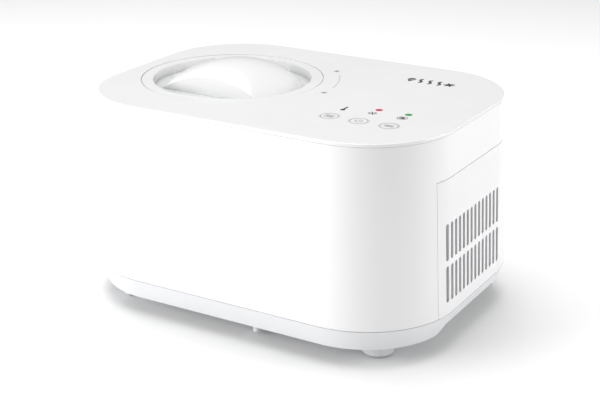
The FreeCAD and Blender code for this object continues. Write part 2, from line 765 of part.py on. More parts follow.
def make_feet():
    feet = []
    for radius, x, y in foot_places():
        leg = cone("%s - foot_taper" % radius, radius, "tray_floor - pad_proud", x, y, "pad_proud")
        spigot = cylinder("foot_spigot", "floor_thickness", x, y, "tray_floor")
        pad_radius = "%s - foot_taper - pad_margin" % radius
        recess = cylinder(pad_radius, "pad_height - pad_proud", x, y, "pad_proud")
        feet.append(cut(fuse(leg, spigot), recess))
    pip = cone("pip_radius - pip_taper", "pip_radius", "tray_floor - pip_lift", "pip_x",
               "-(body_depth/2 - pip_inset)", "pip_lift")
    node("feet", group(*feet, pip))


def make_foot_pads():
    pads = []
    for radius, x, y in foot_places():
        pads.append(cylinder("%s - foot_taper - pad_margin" % radius, "pad_height", x, y))
    node("foot_pads", group(*pads))


def make_base_screws():
    screws = []
    for x, y in boss_places():
        head = cylinder("screw_head", "head_height", x, y, "tray_floor - head_height")
        shank = cylinder("screw_radius", "screw_length", x, y, "tray_floor")
        screws.append(fuse(head, shank))
    node("base_screws", group(*screws))


def make_top_cover():
    body = new_body("cover_body")
    plate = new_sketch(body, "XY_Plane", "deck_height - cover_rim")
    rounded_rectangle(plate, *footprint("wall_draft"))
    slab = pad(body, plate, "cover_rim")
    doc.recompute()
    top = number("deck_height")
    names = [
        "Edge%d" % index for index, one in enumerate(slab.Shape.Edges, start=1)
        if one.BoundBox.ZMin > top - 0.01
    ]
    edge = body.newObject("PartDesign::Fillet", "deck_edge")
    edge.Base = (slab, names)
    edge.setExpression("Radius", bound("edge_round"))
    doc.recompute()
    inset = "wall_draft + shell_wall"
    under = new_sketch(body, "XY_Plane", "deck_height - cover_rim")
    rounded_rectangle(under, *footprint(inset))
    pocket(body, under, "cover_rim - cover_thickness", forward=True)
    lip = new_sketch(body, "XY_Plane", "deck_height - cover_thickness/2")
    for extra in ("lip_gap", "lip_gap + lip_wall"):
        rounded_rectangle(lip, *footprint("%s + %s" % (inset, extra)))
    feature = pad(body, lip, "cover_rim - cover_thickness/2 + shadow_gap + lip_height")
    feature.Reversed = True
    x = "-lid_offset"
    collar_top = "deck_height - lid_sink - flange_thickness - ledge_gap - seat_wall"
    recess = "lid_radius + lid_gap"
    bowl_wall_radius = "dish_radius + lid_gap"
    tall = cylinder(
        bowl_wall_radius + " + seat_wall", "deck_height - (%s)" % SEAT_BOTTOM, x, "0", SEAT_BOTTOM)
    wide = cylinder(recess + " + seat_wall", "deck_height - (%s)" % collar_top, x, "0", collar_top)
    collar = common(fuse(tall, wide), cylinder("body_length", "deck_height - cover_thickness/2", x))
    ledge_depth = "lid_sink + flange_thickness + ledge_gap"
    holes = [
        cylinder(recess, "%s + 1" % ledge_depth, x, "0", "deck_height - (%s)" % ledge_depth),
        cylinder(bowl_wall_radius, "deck_height", x, "0", SEAT_TOP),
        cylinder("seat_opening", "deck_height", x, "0", "deck_height/2"),
    ]
    for index in range(len(BUTTONS)):
        holes.append(cylinder(BUTTON_HOLE, "20", button_x(index), "button_y", "deck_height - 10"))
    for index in (1, 2):
        spot = button_x(index)
        holes.append(cylinder("lamp_radius + lamp_gap", "20", spot, "lamp_y", "deck_height - 10"))
    cover = cut(fuse(body, collar), *holes)
    posts = []
    for px, py in board_corners():
        length = "deck_height - cover_thickness - board_level - board_thickness"
        posts.append(cylinder("board_post", length, px, py, "board_level + board_thickness"))
    node("top_cover", fuse(cover, *posts))


# ---- lid ------------------------------------------------------------------

def make_lid():
    inner = "dish_radius - dish_wall"
    flange_bottom = LID_TOP + " - flange_thickness"
    hole = inner + " - window_ledge"
    ledge = DISH_BOTTOM + " + dish_wall/2"
    at_bowl("lid_ring", [
        (hole, DISH_BOTTOM), ("dish_radius", DISH_BOTTOM), ("dish_radius", flange_bottom),
        ("lid_radius", flange_bottom), ("lid_radius", LID_TOP), (inner, LID_TOP),
        (inner, ledge), (hole, ledge),
    ])
    at_bowl("lid_window", [
        ("0", DISH_BOTTOM), (hole, DISH_BOTTOM), (hole, ledge), (inner, ledge),
        (inner, DISH_BOTTOM + " + dish_wall"), ("0", DISH_BOTTOM + " + dish_wall"),
    ])
    at_bowl("lid_seal", [
        ("seal_inner", SEAT_TOP), ("dish_radius", SEAT_TOP),
        ("dish_radius", DISH_BOTTOM), ("seal_inner", DISH_BOTTOM),
    ])
    floor = DISH_BOTTOM + " + dish_wall"
    x = "-lid_offset"
    crown = "deck_height + handle_rise - handle_dome"
    room = "handle_rise + lid_sink + dish_depth"
    outside = common(
        dome("handle_dome", "handle_cross", x, "0", crown),
        cylinder("handle_end", room, x, "0", floor),
        block("2 * handle_end", "2 * handle_half", room, x, "0", floor),
    )
    doc.recompute()
    low = number(floor) + 0.01
    grip = rounded(outside, "handle_round", lambda edge: edge.BoundBox.ZMax > low)
    inside = common(
        dome("handle_dome - handle_wall", "handle_cross - handle_wall", x, "0", crown),
        cylinder("handle_end - handle_wall", room, x, "0", floor),
        block("2 * handle_end", "2 * (handle_half - handle_wall)", room, x, "0", floor),
    )
    node("lid_handle", cut(grip, inside))


# ---- buttons, lamps and their board --------------------------------------

def make_buttons():
    under = "deck_height - cover_thickness - collar_gap"
    collar_bottom = under + " - collar_height"
    for index, name in enumerate(BUTTONS):
        x = button_x(index)
        cap = cylinder("button_radius", "cover_thickness + collar_gap", x, "button_y", under)
        collar = cylinder("collar_radius", "collar_height", x, "button_y", collar_bottom)
        stem_bottom = PLUNGER_TOP + " + button_travel + press_gap"
        stem = cylinder(
            "stem_radius", "%s - (%s)" % (collar_bottom, stem_bottom), x, "button_y", stem_bottom)
        node(name, fuse(cap, collar, stem))
    lights = []
    lamps = []
    for index in (1, 2):
        x = button_x(index)
        lamp_top = BOARD_TOP + " + led_height + light_gap"
        lights.append(cylinder("lamp_radius", "deck_height - (%s)" % lamp_top, x, "lamp_y", lamp_top))
        lamps.append(cylinder("led_radius", "led_height", x, "lamp_y", BOARD_TOP))
    node("indicator_windows", group(*lights))
    node("indicator_lamps", group(*lamps))


def board_corners():
    middle = "(button_x + button_pitch)"
    sides = ("- (board_length/2 - board_side)", "+ (board_length/2 - board_side)")
    ends = ("board_y - (board_depth/2 - board_edge)", "board_y + (board_depth/2 - board_edge)")
    return [("%s %s" % (middle, side), end) for side in sides for end in ends]


def make_control_board():
    middle = "(button_x + button_pitch)"
    board = block("board_length", "board_depth", "board_thickness", middle, "board_y", "board_level")
    holes = [cylinder("board_hole", "board_thickness", x, y, "board_level") for x, y in board_corners()]
    node("control_board", cut(board, *holes))
    switches = []
    for index in range(len(BUTTONS)):
        x = button_x(index)
        case = block("switch_side", "switch_side", "switch_height", x, "button_y", BOARD_TOP)
        plunger = cylinder("plunger_radius", "plunger_height", x, "button_y", BOARD_TOP + " + switch_height")
        switches.append(fuse(case, plunger))
    node("button_switches", group(*switches))
    heads = []
    for x, y in board_corners():
        heads.append(cylinder("small_head", "small_head_height", x, y, "board_level - small_head_height"))
    node("control_board_screws", group(*heads))


# ---- cold side ------------------------------------------------------------

def make_cold_side():
    well_outer = "well_radius + well_wall"
    floor = "well_bottom + well_wall"
    at_bowl("cooling_well", [
        ("bush_radius", "well_bottom"), (well_outer, "well_bottom"),
        (well_outer, WELL_TOP + " - well_wall"), ("well_flange", WELL_TOP + " - well_wall"),
        ("well_flange", WELL_TOP), ("well_radius", WELL_TOP),
        ("well_radius", floor), ("bush_radius", floor),
    ])
    at_bowl("well_gasket", [
        ("seat_opening", WELL_TOP), ("well_flange", WELL_TOP),
        ("well_flange", SEAT_BOTTOM), ("seat_opening", SEAT_BOTTOM),
    ])
    x = "-lid_offset"
    path = "well_radius + well_wall + tube_gap + tube_radius"
    start = "well_bottom + coil_start"
    hoops = [
        torus(path, "tube_radius", x, "0", "%s + %d * tube_pitch" % (start, index))
        for index in range(EVAPORATOR_RINGS)
    ]
    riser_height = "%d * tube_pitch" % (EVAPORATOR_RINGS - 1)
    riser = cylinder("coil_riser", riser_height, "(-lid_offset) + " + path, "0", start)
    node("evaporator_coil", fuse(riser, *hoops))
    foam_bottom = "well_bottom - foam_floor"
    at_bowl("well_insulation", [
        ("bush_flange + 6", foam_bottom), ("foam_radius", foam_bottom),
        ("foam_radius", WELL_TOP + " - well_wall - 1"), ("foam_inner", WELL_TOP + " - well_wall - 1"),
        ("foam_inner", "well_bottom - 0.3"), ("bush_flange + 6", "well_bottom - 0.3"),
    ])
    across = "foam_radius - lid_offset + sensor_gap + sensor_side/2"
    sensor = block(
        "sensor_side", "sensor_width", "sensor_height", across, "sensor_y", "well_bottom + sensor_rise")
    node("temperature_sensor", sensor)


# ---- bowl, paddle and drive ----------------------------------------------

def make_bowl():
    inside = "bowl_radius - bowl_wall"
    floor = BOWL_FLOOR + " + bowl_wall"
    rim_top = WELL_TOP + " + bowl_wall"
    at_bowl("bowl", [
        ("sleeve_inner", BOWL_FLOOR), ("bowl_radius", BOWL_FLOOR), ("bowl_radius", WELL_TOP),
        ("bowl_rim", WELL_TOP), ("bowl_rim", rim_top), (inside, rim_top), (inside, floor),
        ("sleeve_outer", floor), ("sleeve_outer", "sleeve_top"), ("sleeve_inner", "sleeve_top"),
    ])


def make_paddle():
    x = "-lid_offset"
    bottom = BOWL_FLOOR + " + bowl_wall + paddle_gap"
    hub = cylinder("hub_radius", "hub_top - (%s)" % bottom, x, "0", bottom)
    reach = block("2 * paddle_reach", "blade_thickness", "arm_height", x, "0", bottom)
    half_way = bottom + " + paddle_height/2"
    middle = block("2 * paddle_reach - blade_width", "blade_thickness", "arm_height", x, "0", half_way)
    uprights = []
    for side in ("-", "+"):
        across = "(-lid_offset) %s (paddle_reach - blade_width/2)" % side
        height = "paddle_height" if side == "-" else "paddle_height * 0.8"
        uprights.append(block("blade_width", "blade_thickness", height, across, "0", bottom))
    cross = block("blade_thickness", "1.5 * paddle_reach", "arm_height", x, "0", bottom)
    scrape = cylinder("paddle_reach", "paddle_height", x, "0", bottom)
    arms = common(fuse(reach, middle, cross, *uprights), scrape)
    cavity = cylinder("hub_bore", "sleeve_top + hub_clear - (%s)" % bottom, x, "0", bottom)
    across = "square_size + 2 * square_gap"
    depth = "shaft_proud + hub_play"
    socket = block(across, across, depth, x, "0", "shaft_top + hub_play - (%s)" % depth)
    node("paddle", cut(fuse(hub, arms), cavity, socket))


def make_drive():
    x = "-lid_offset"
    round_length = "shaft_top - square_length - shaft_bottom"
    round_part = cylinder("shaft_radius", round_length, x, "0", "shaft_bottom")
    square = block("square_size", "square_size", "square_length", x, "0", "shaft_top - square_length")
    limit = cylinder("shaft_radius - square_gap", "deck_height", x)
    node("drive_shaft", fuse(round_part, common(square, limit)))
    bore = "shaft_radius + running_gap"
    at_bowl("lower_bush", [
        (bore, "bracket_level"), ("bush_radius", "bracket_level"),
        ("bush_radius", "bracket_level + bracket_thickness"),
        ("bush_flange", "bracket_level + bracket_thickness"),
        ("bush_flange", "bracket_level + bracket_thickness + bush_rim_height"),
        (bore, "bracket_level + bracket_thickness + bush_rim_height"),
    ])
    at_bowl("upper_bush", [
        (bore, "well_bottom - bush_rim_height"), ("bush_flange", "well_bottom - bush_rim_height"),
        ("bush_flange", "well_bottom"),
        ("bush_radius", "well_bottom"), ("bush_radius", "well_bottom + well_wall"),
        (bore, "well_bottom + well_wall"),
    ])
    at_bowl("shaft_seal", [
        (bore, "well_bottom + well_wall"), ("bush_radius", "well_bottom + well_wall"),
        ("bush_radius", "well_bottom + well_wall + bowl_gap * 0.6"),
        (bore, "well_bottom + well_wall + bowl_gap * 0.6"),
    ])


def make_gear(name, teeth, bore, x, turned_by, width, level):
    """A spur gear: a root disc and straight-flanked teeth round it."""
    tip = "gear_module * (%s/2 + tooth_tip)" % teeth
    root = "gear_module * (%s/2 - tooth_root)" % teeth
    body = new_body(name + "_body", x, "0", level)
    body.Placement = FreeCAD.Placement(Vector(), FreeCAD.Rotation(Vector(0, 0, 1), turned_by))
    place(body, x, "0", level)
    disc = new_sketch(body, "XY_Plane")
    circle(disc, "0", "0", root)
    circle(disc, "0", "0", bore)
    pad(body, disc, width)
    tooth = new_sketch(body, "XY_Plane")
    inner = "%s - tooth_sink" % root
    polygon(tooth, [
        (inner, "-tooth_foot * gear_module"), (tip, "-tooth_crest * gear_module"),
        (tip, "tooth_crest * gear_module"), (inner, "tooth_foot * gear_module"),
    ])
    first = pad(body, tooth, width)
    around = body.newObject("PartDesign::PolarPattern", name + "_teeth")
    around.Originals = [first]
    around.Axis = (tooth, ["N_Axis"])
    around.Angle = 360.0
    around.setExpression("Occurrences", bound(teeth))
    body.Tip = around
    return node(name, body)


def make_gears():
    make_gear("drive_gear", "gear_teeth", "shaft_radius", "-lid_offset", 0, "gear_width", "gear_level")
    half_pitch = 180.0 / number("pinion_teeth")
    width = "gear_width + 2 * pinion_proud"
    make_gear("motor_pinion", "pinion_teeth", "motor_shaft", MOTOR_X, half_pitch, width,
              "gear_level - pinion_proud")
    top = "gear_level + gear_width + pinion_proud"
    shaft_base = "bracket_level + pinion_proud"
    node("motor_shaft", cylinder("motor_shaft", "%s - (%s)" % (top, shaft_base), MOTOR_X, "0", shaft_base))


def bracket_places():
    left = "(-lid_offset - bracket_screw_x)"
    right = "(%s + motor_screw_x)" % MOTOR_X
    near = "bracket_half - bracket_side"
    return [(x, y) for x in (left, right) for y in ("-(%s)" % near, near)]


def make_gear_bracket():
    left = "(-lid_offset - bracket_screw_x - bracket_end)"
    right = "(%s + motor_screw_x + bracket_end)" % MOTOR_X
    length = "(%s - %s)" % (right, left)
    middle = "((%s + %s)/2)" % (left, right)
    plate = block(length, "2 * bracket_half", "bracket_thickness", middle, "0", "bracket_level")
    holes = [
        cylinder("bush_radius", "bracket_thickness", "-lid_offset", "0", "bracket_level"),
        cylinder("motor_shaft + motor_nose", "bracket_thickness", MOTOR_X, "0", "bracket_level"),
    ]
    for x, y in bracket_places():
        holes.append(cylinder("screw_radius + screw_gap", "bracket_thickness", x, y, "bracket_level"))
    node("gear_bracket", cut(plate, *holes))
    pillars = []
    screws = []
    bore_depth = "thread_depth + head_height"
    for x, y in bracket_places():
        post = cylinder("pillar_radius", "bracket_level - (%s)" % TRAY_TOP, x, y, TRAY_TOP)
        bore = cylinder("screw_radius + thread_gap", bore_depth, x, y, "bracket_level - (%s)" % bore_depth)
        pillars.append(cut(post, bore))
        length = "bracket_thickness + thread_depth"
        shank = cylinder("screw_radius", length, x, y, "bracket_level - thread_depth")
        head = cylinder("screw_head", "head_height", x, y, "bracket_level + bracket_thickness")
        screws.append(fuse(shank, head))
    node("bracket_pillars", group(*pillars))
    node("bracket_screws", group(*screws))
    can = cylinder("motor_radius", "motor_height", MOTOR_X, "0", "bracket_level - motor_height")
    nose = cylinder("motor_shaft + pinion_proud", "gear_width", MOTOR_X, "0", "bracket_level - gear_width/2")
    node("paddle_motor", cut(can, nose))


# ---- warm side ------------------------------------------------------------

def compressor_feet():
    spots = []
    for degrees in (90, 210, 330):
        across = "%.6f" % math.cos(math.radians(degrees))
        along = "%.6f" % math.sin(math.radians(degrees))
        x = "(compressor_x + mount_circle * (%s))" % across
        spots.append((x, "(compressor_y + mount_circle * (%s))" % along))
    return spots


def make_compressor():
    centre = ("compressor_x", "compressor_y")
    base = cylinder("compressor_radius", "compressor_height", *centre, "compressor_bottom")
    shell = rounded(base, "compressor_round", lambda edge: len(edge.Vertexes) == 1)
    plate_level = "compressor_bottom - compressor_plate"
    plate = cylinder("compressor_radius - 1", "compressor_plate", *centre, plate_level)
    node("compressor", fuse(shell, plate))
    height = "%s - (%s)" % (plate_level, TRAY_TOP)
    grommets = []
    bolts = []
    for x, y in compressor_feet():
        grommets.append(ring("grommet_radius", "mount_bolt + mount_gap", height, x, y, TRAY_TOP))
        bolts.append(cylinder("mount_bolt", height + " - mount_gap", x, y, TRAY_TOP))
    node("compressor_grommets", group(*grommets))
    node("compressor_bolts", group(*bolts))
    side = "compressor_y - compressor_radius - relay_depth/2 - relay_gap"
    relay = block("relay_length", "relay_depth", "relay_height", "compressor_x", side,
                  "compressor_bottom + relay_rise")
    node("start_relay", relay)


def make_fan():
    middle_y = "(slot_first + slot_pitch * %s)" % ((SLOT_COLUMNS - 1) / 2)
    middle_z = "(slot_bottom + slot_height + slot_rows/2)"
    bottom = "(%s - fan_side/2)" % middle_z
    frame = block("fan_depth", "fan_side", "fan_side", "fan_x + fan_depth/2", middle_y, bottom)
    tunnel = cylinder("fan_radius + fan_gap", "fan_depth", "fan_x", middle_y, middle_z, "x")
    long_side = "2 * (fan_radius + fan_gap + 1)"
    struts = []
    for width, height in ((long_side, "2 * fan_strut"), ("2 * fan_strut", long_side)):
        level = "%s - (%s)/2" % (middle_z, height)
        struts.append(block("fan_strut", width, height, "fan_x + fan_strut/2", middle_y, level))
    seat = cylinder("fan_hub - fan_strut", "fan_strut", "fan_x", middle_y, middle_z, "x")
    node("fan_shroud", fuse(cut(frame, tunnel), seat, *struts))
    spot = ("fan_x + fan_strut", middle_y, middle_z)
    motor = cylinder("fan_hub - 2 * fan_strut", "fan_motor_length", *spot, "x")
    node("fan_motor", motor)
    free_form("fan_blades", fan_shape())


def fan_centre():
    along_y = number("slot_first") + number("slot_pitch") * (SLOT_COLUMNS - 1) / 2
    up = number("slot_bottom") + number("slot_height") + number("slot_rows") / 2
    return Vector(0, along_y, up)


def fan_shape():
    """A cup-shaped hub with pitched blades, turning about X."""
    start = number("fan_x") + 5.0
    length = 14.0
    hub_radius = number("fan_hub")
    x_axis = Vector(1, 0, 0)
    hub = Part.makeCylinder(hub_radius, length, Vector(start, 0, 0), x_axis)
    hub = hub.cut(Part.makeCylinder(hub_radius - 3.2, length - 2.5, Vector(start, 0, 0), x_axis))
    pieces = [hub]
    chord = 20.0
    thickness = 1.4
    limit = Part.makeCylinder(number("fan_radius"), length - 1, Vector(start + 0.5, 0, 0), x_axis)
    for index in range(FAN_BLADES):
        root = hub_radius - 1.2
        blade = Part.makeBox(thickness, chord, number("fan_radius") - root)
        blade.translate(Vector(-thickness / 2, -chord / 2, root))
        blade.rotate(Vector(), Vector(0, 0, 1), FAN_PITCH_DEGREES + 25)
        blade.translate(Vector(start + length / 2, 0, 0))
        blade.rotate(Vector(), x_axis, index * 360.0 / FAN_BLADES)
        pieces.append(blade.common(limit))
    whole = pieces[0].multiFuse(pieces[1:])
    whole.translate(fan_centre())
    return whole.removeSplitter()


def coil_rows():
    """Heights of the condenser's straight tube runs."""
    step = number("fin_height") / COIL_RUNS
    return [number("fin_bottom") + step * (index + 0.5) for index in range(COIL_RUNS)]


def pipe(points, radius, bend):
    """A round tube along straight runs joined by tangent arcs."""
    edges = []
    cursor = points[0]
    for before, corner, after in zip(points, points[1:], points[2:]):
        arriving = (corner - before).normalize()
        leaving = (after - corner).normalize()
        turn = arriving.getAngle(leaving)
        back = bend * math.tan(turn / 2)
        start = corner - arriving * back
        end = corner + leaving * back
        inward = (leaving - arriving).normalize()
        middle = corner + inward * (bend / math.cos(turn / 2) - bend)
        edges.append(Part.LineSegment(cursor, start).toShape())
        edges.append(Part.Arc(start, middle, end).toShape())
        cursor = end
    edges.append(Part.LineSegment(cursor, points[-1]).toShape())
    path = Part.Wire(edges)
    direction = (points[1] - points[0]).normalize()
    profile = Part.Wire([Part.Circle(points[0], direction, radius).toShape()])
    return path.makePipeShell([profile], True, False)


def make_condenser():
    middle_y = fan_centre().y
    start = number("fin_x")
    depth = number("fin_depth")
    half = number("fin_half")
    tube = number("coil_radius")
    rows = coil_rows()
    fins = []
    count = int(2 * half // number("fin_pitch"))
    for index in range(count + 1):
        y = middle_y - half + index * 2 * half / count
        corner = Vector(start, y - number("fin_sheet") / 2, number("fin_bottom"))
        fin = Part.makeBox(depth, number("fin_sheet"), number("fin_height"), corner)
        for level in rows:
            bore = Vector(start + depth / 2, y - 1, level)
            fin = fin.cut(Part.makeCylinder(tube + 0.15, 2, bore, Vector(0, 1, 0)))
        fins.append(fin)
    free_form("condenser_fins", Part.makeCompound(fins))
    bend = number("fin_height") / COIL_RUNS / 2
    x = start + depth / 2
    reach = half + 3.0 + bend
    points = [Vector(x, middle_y - reach, rows[0])]
    for index, level in enumerate(rows):
        side = reach if index % 2 == 0 else -reach
        points.append(Vector(x, middle_y + side, level))
        if index + 1 < len(rows):
            points.append(Vector(x, middle_y + side, rows[index + 1]))
    free_form("condenser_tube", pipe(points, tube, bend - 0.01))


def make_pipework():
    tube = number("coil_radius")
    centre_x = number("compressor_x")
    centre_y = number("compressor_y")
    top = number("compressor_bottom") + number("compressor_height")
    shell = number("compressor_radius")
    outer_x = number("fin_x") + number("fin_depth") / 2
    back_y = fan_centre().y + number("fin_half") + 3.0 + number("fin_height") / COIL_RUNS / 2
    cold_x = number("foam_radius") - number("lid_offset")
    rise = Vector(centre_x + 12, centre_y + 12, top + 0.2)
    discharge = [
        rise,
        rise + Vector(0, 0, 16),
        Vector(rise.x, back_y + 22, rise.z + 16),
        Vector(rise.x + 40, back_y + 22, rise.z + 16),
        Vector(rise.x + 40, back_y + 22, 70),
    ]
    free_form("discharge_pipe", pipe(discharge, tube, 9.0))
    fall = Vector(centre_x - 12, centre_y - 8, top + 0.2)
    suction = [
        fall,
        fall + Vector(0, 0, 14),
        Vector(cold_x + 8, fall.y, fall.z + 14),
        Vector(cold_x + 8, -40, fall.z + 14),
        Vector(cold_x + 8, -40, number("well_bottom") + 20),
    ]
    free_form("suction_pipe", pipe(suction, tube, 9.0))
    drier_x = outer_x - 50
    body = Part.makeCylinder(9, 60, Vector(drier_x, shell + centre_y + 18, 50))
    free_form("filter_drier", body)


def make_power_board():
    y = "-(body_depth/2 - supply_inset)"
    level = TRAY_TOP + " + supply_post"
    top = level + " + board_thickness"
    board = block("supply_length", "supply_depth", "board_thickness", "supply_x", y, level)
    half_x = "(supply_length/2 - supply_edge)"
    half_y = "(supply_depth/2 - supply_edge)"
    corners = [
        ("supply_x %s %s" % (side, half_x), "%s %s %s" % (y, hand, half_y))
        for side in "-+" for hand in "-+"
    ]
    holes = [cylinder("board_hole + screw_gap", "board_thickness", *spot, level) for spot in corners]
    node("power_board", cut(board, *holes))
    posts = []
    screws = []
    half_post = "supply_post/2"
    for spot in corners:
        post = cylinder("supply_post_radius", "supply_post", *spot, TRAY_TOP)
        bore = cylinder("board_hole + thread_gap", half_post, *spot, "%s - %s" % (level, half_post))
        posts.append(cut(post, bore))
        length = half_post + " + board_thickness"
        shank = cylinder("board_hole", length, *spot, "%s - %s" % (level, half_post))
        screws.append(fuse(shank, cylinder("small_head", "small_head_height", *spot, top)))
    node("power_board_posts", group(*posts))
    node("power_board_screws", group(*screws))
    transformer = block("28", "24", "22", "supply_x - 20", y, top)
    relay = block("18", "14", "16", "supply_x + 12", y + " + 6", top)
    capacitor = cylinder("6", "20", "supply_x + 26", y + " - 8", top)
    node("power_board_components", group(transformer, relay, capacitor))


def make_cord_gland():
    start = "%s - shell_wall - gland_reach" % wall_y("gland_z")
    body = cylinder("gland_radius", "shell_wall + gland_reach - gland_sink", "gland_x", start, "gland_z", "y")
    flange = cylinder("gland_radius + gland_flange", "gland_flange", "gland_x", start, "gland_z", "y")
    bore = cylinder("gland_bore", "2 * boss_height", "gland_x", start + " - boss_height", "gland_z", "y")
    node("cord_gland", cut(fuse(body, flange), bore))


make_housing()
make_grille_panel()
make_base_tray()
make_feet()
make_foot_pads()
make_base_screws()
make_top_cover()
make_lid()
make_buttons()
make_control_board()
make_cold_side()
make_bowl()
make_paddle()
make_drive()
make_gears()
make_gear_bracket()
make_compressor()
make_fan()
make_condenser()
make_pipework()
make_power_board()
make_cord_gland()

sheet.clear("E1")
doc.recompute()
faults = [obj.Label for obj in doc.Objects if {"Invalid", "Error"} & set(obj.State)]
for name, obj in nodes.items():
    if obj.Shape.isNull() or not obj.Shape.isValid() or not obj.Shape.Solids:
        faults.append(name)
if faults:
    raise RuntimeError("failed: " + ", ".join(faults))

os.makedirs("parts", exist_ok=True)
for name, obj in nodes.items():
    obj.Shape.exportStep("parts/" + name + ".step")
    print("%-24s %3d solids %10.0f mm3" % (name, len(obj.Shape.Solids), obj.Shape.Volume))
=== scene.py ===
"""Looks of a self-cooling ice cream maker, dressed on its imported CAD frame."""
import logging
import math
from dataclasses import dataclass, field
from enum import Enum
from typing import Callable, Sequence

import bmesh
import bpy
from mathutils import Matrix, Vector


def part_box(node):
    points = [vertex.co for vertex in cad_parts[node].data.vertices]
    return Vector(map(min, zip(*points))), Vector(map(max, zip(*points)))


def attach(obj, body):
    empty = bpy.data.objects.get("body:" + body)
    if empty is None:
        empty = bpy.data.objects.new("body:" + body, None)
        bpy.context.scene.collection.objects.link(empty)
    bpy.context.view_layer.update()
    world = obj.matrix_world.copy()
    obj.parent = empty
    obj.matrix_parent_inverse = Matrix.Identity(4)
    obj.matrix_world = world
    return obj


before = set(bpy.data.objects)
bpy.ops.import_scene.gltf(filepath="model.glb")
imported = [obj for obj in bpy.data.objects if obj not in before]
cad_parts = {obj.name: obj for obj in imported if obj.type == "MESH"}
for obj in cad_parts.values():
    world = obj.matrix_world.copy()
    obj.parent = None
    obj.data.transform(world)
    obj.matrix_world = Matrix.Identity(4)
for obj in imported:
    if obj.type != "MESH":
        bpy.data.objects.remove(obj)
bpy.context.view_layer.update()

logging.basicConfig(level=logging.INFO, format="%(message)s")
log = logging.getLogger("ice_cream_maker")

MM = 0.001
INK_ROOT = -0.02  # how far printed ink reaches into its surface, in millimetres
Point = tuple[float, float]
Colour = tuple[float, float, float]


# ---- shader maths ----------------------------------------------------------


class Sock:
    """A node's output socket that can be used in arithmetic."""

    def __init__(self, shader: "Shader", socket: bpy.types.NodeSocket) -> None:
        """Keep the socket with the shader that owns it."""
        self.shader = shader
        self.socket = socket

    def _math(self, operation: str, first: "Sock | float", second: "Sock | float") -> "Sock":
        """Add a Math node.

        Args:
            operation: the Math node's operation.
            first: the first operand.
            second: the second operand.

        Returns:
            The node's value.
        """
        return self.shader.node("ShaderNodeMath", {"operation": operation}, {0: first, 1: second})

    def __add__(self, other: "Sock | float") -> "Sock":
        """self + other."""
        return self._math("ADD", self, other)

    __radd__ = __add__

    def __sub__(self, other: "Sock | float") -> "Sock":
        """self - other."""
        return self._math("SUBTRACT", self, other)

    def __rsub__(self, other: float) -> "Sock":
        """other - self."""
        return self._math("SUBTRACT", other, self)

    def __mul__(self, other: "Sock | float") -> "Sock":
        """self * other."""
        return self._math("MULTIPLY", self, other)

    __rmul__ = __mul__

    def above(self, edge: float) -> "Sock":
        """1 where the value is greater than edge, else 0."""
        return self._math("GREATER_THAN", self, edge)


class Shader:
    """A material with a Principled shader, and the one way to add nodes to it."""

    def __init__(self, name: str) -> None:
        """Make the material and find its shader."""
        self.material = bpy.data.materials.new(name)
        self.material.use_nodes = True
        self.tree = self.material.node_tree
        self.principled = self.tree.nodes["Principled BSDF"]

    def node(self, kind: str, settings: dict | None = None, sockets: dict | None = None,
             output: int | str = 0) -> Sock:
        """Add a node.

        Args:
            kind: the node's type.
            settings: its properties, set first; "stops" fills a colour ramp.
            sockets: values or links of its inputs, by name or index.
            output: the output that is wanted.

        Returns:
            That output.
        """
        made = self.tree.nodes.new(kind)
        for key, value in (settings or {}).items():
            if key == "stops":
                ramp = made.color_ramp
                for element, (position, shade) in zip(ramp.elements, value):
                    element.position = position
                    element.color = (shade, shade, shade, 1.0)
            else:
                setattr(made, key, value)
        for key, value in (sockets or {}).items():
            self.feed(made.inputs[key], value)
        return Sock(self, made.outputs[output])

    def feed(self, target: bpy.types.NodeSocket, value: "Sock | float | Sequence[float]") -> None:
        """Set or link one input socket.

        Args:
            target: the input socket.
            value: a number, a colour or another node's output.
        """
        if isinstance(value, Sock):
            self.tree.links.new(value.socket, target)
        else:
            target.default_value = value

    def set(self, **values: "Sock | float | Sequence[float]") -> None:
        """Set the shader's own sockets; underscores stand for spaces."""
        for key, value in values.items():
            self.feed(self.principled.inputs[key.replace("_", " ")], value)

    def place(self) -> Sock:
        """The point on the surface, in metres of the object's own frame."""
        return self.node("ShaderNodeTexCoord", output="Object")

    def noise(self, scale: float, detail: float = 2.0, where: Sock | None = None) -> Sock:
        """Add fractal noise.

        Args:
            scale: cells in a metre.
            detail: octaves.
            where: coordinates, the surface point when left out.

        Returns:
            A value about 0.5.
        """
        spot = where or self.place()
        sockets = {"Vector": spot, "Scale": scale, "Detail": detail}
        return self.node("ShaderNodeTexNoise", None, sockets)

    def stretched(self, along: Sequence[float]) -> Sock:
        """The surface point, scaled differently along X, Y and Z."""
        sockets = {"Vector": self.place(), "Scale": along}
        return self.node("ShaderNodeMapping", {"vector_type": "POINT"}, sockets)

    def mix(self, mask: "Sock | float", first: Colour, second: Colour) -> Sock:
        """Blend two colours.

        Args:
            mask: 0 for the first, 1 for the second.
            first: a colour.
            second: a colour.

        Returns:
            The blended colour.
        """
        sockets = {0: mask, 6: (*first, 1.0), 7: (*second, 1.0)}
        return self.node("ShaderNodeMix", {"data_type": "RGBA"}, sockets, output=2)

    def bump(self, height: Sock, depth: float, strength: float = 1.0) -> None:
        """Raise the surface by a height from 0 to 1 times a depth in metres."""
        sockets = {"Height": height, "Distance": depth, "Strength": strength}
        self.set(Normal=self.node("ShaderNodeBump", None, sockets))

    def ramp(self, value: Sock, low: float, high: float) -> Sock:
        """A value stretched so that low gives 0 and high gives 1."""
        sockets = {"Value": value, "From Min": low, "From Max": high}
        return self.node("ShaderNodeMapRange", {"clamp": True}, sockets)


def shade(colour: Colour, factor: float) -> Colour:
    """A colour made lighter or darker, at most white."""
    return tuple(min(1.0, part * factor) for part in colour)


# ---- finishes --------------------------------------------------------------


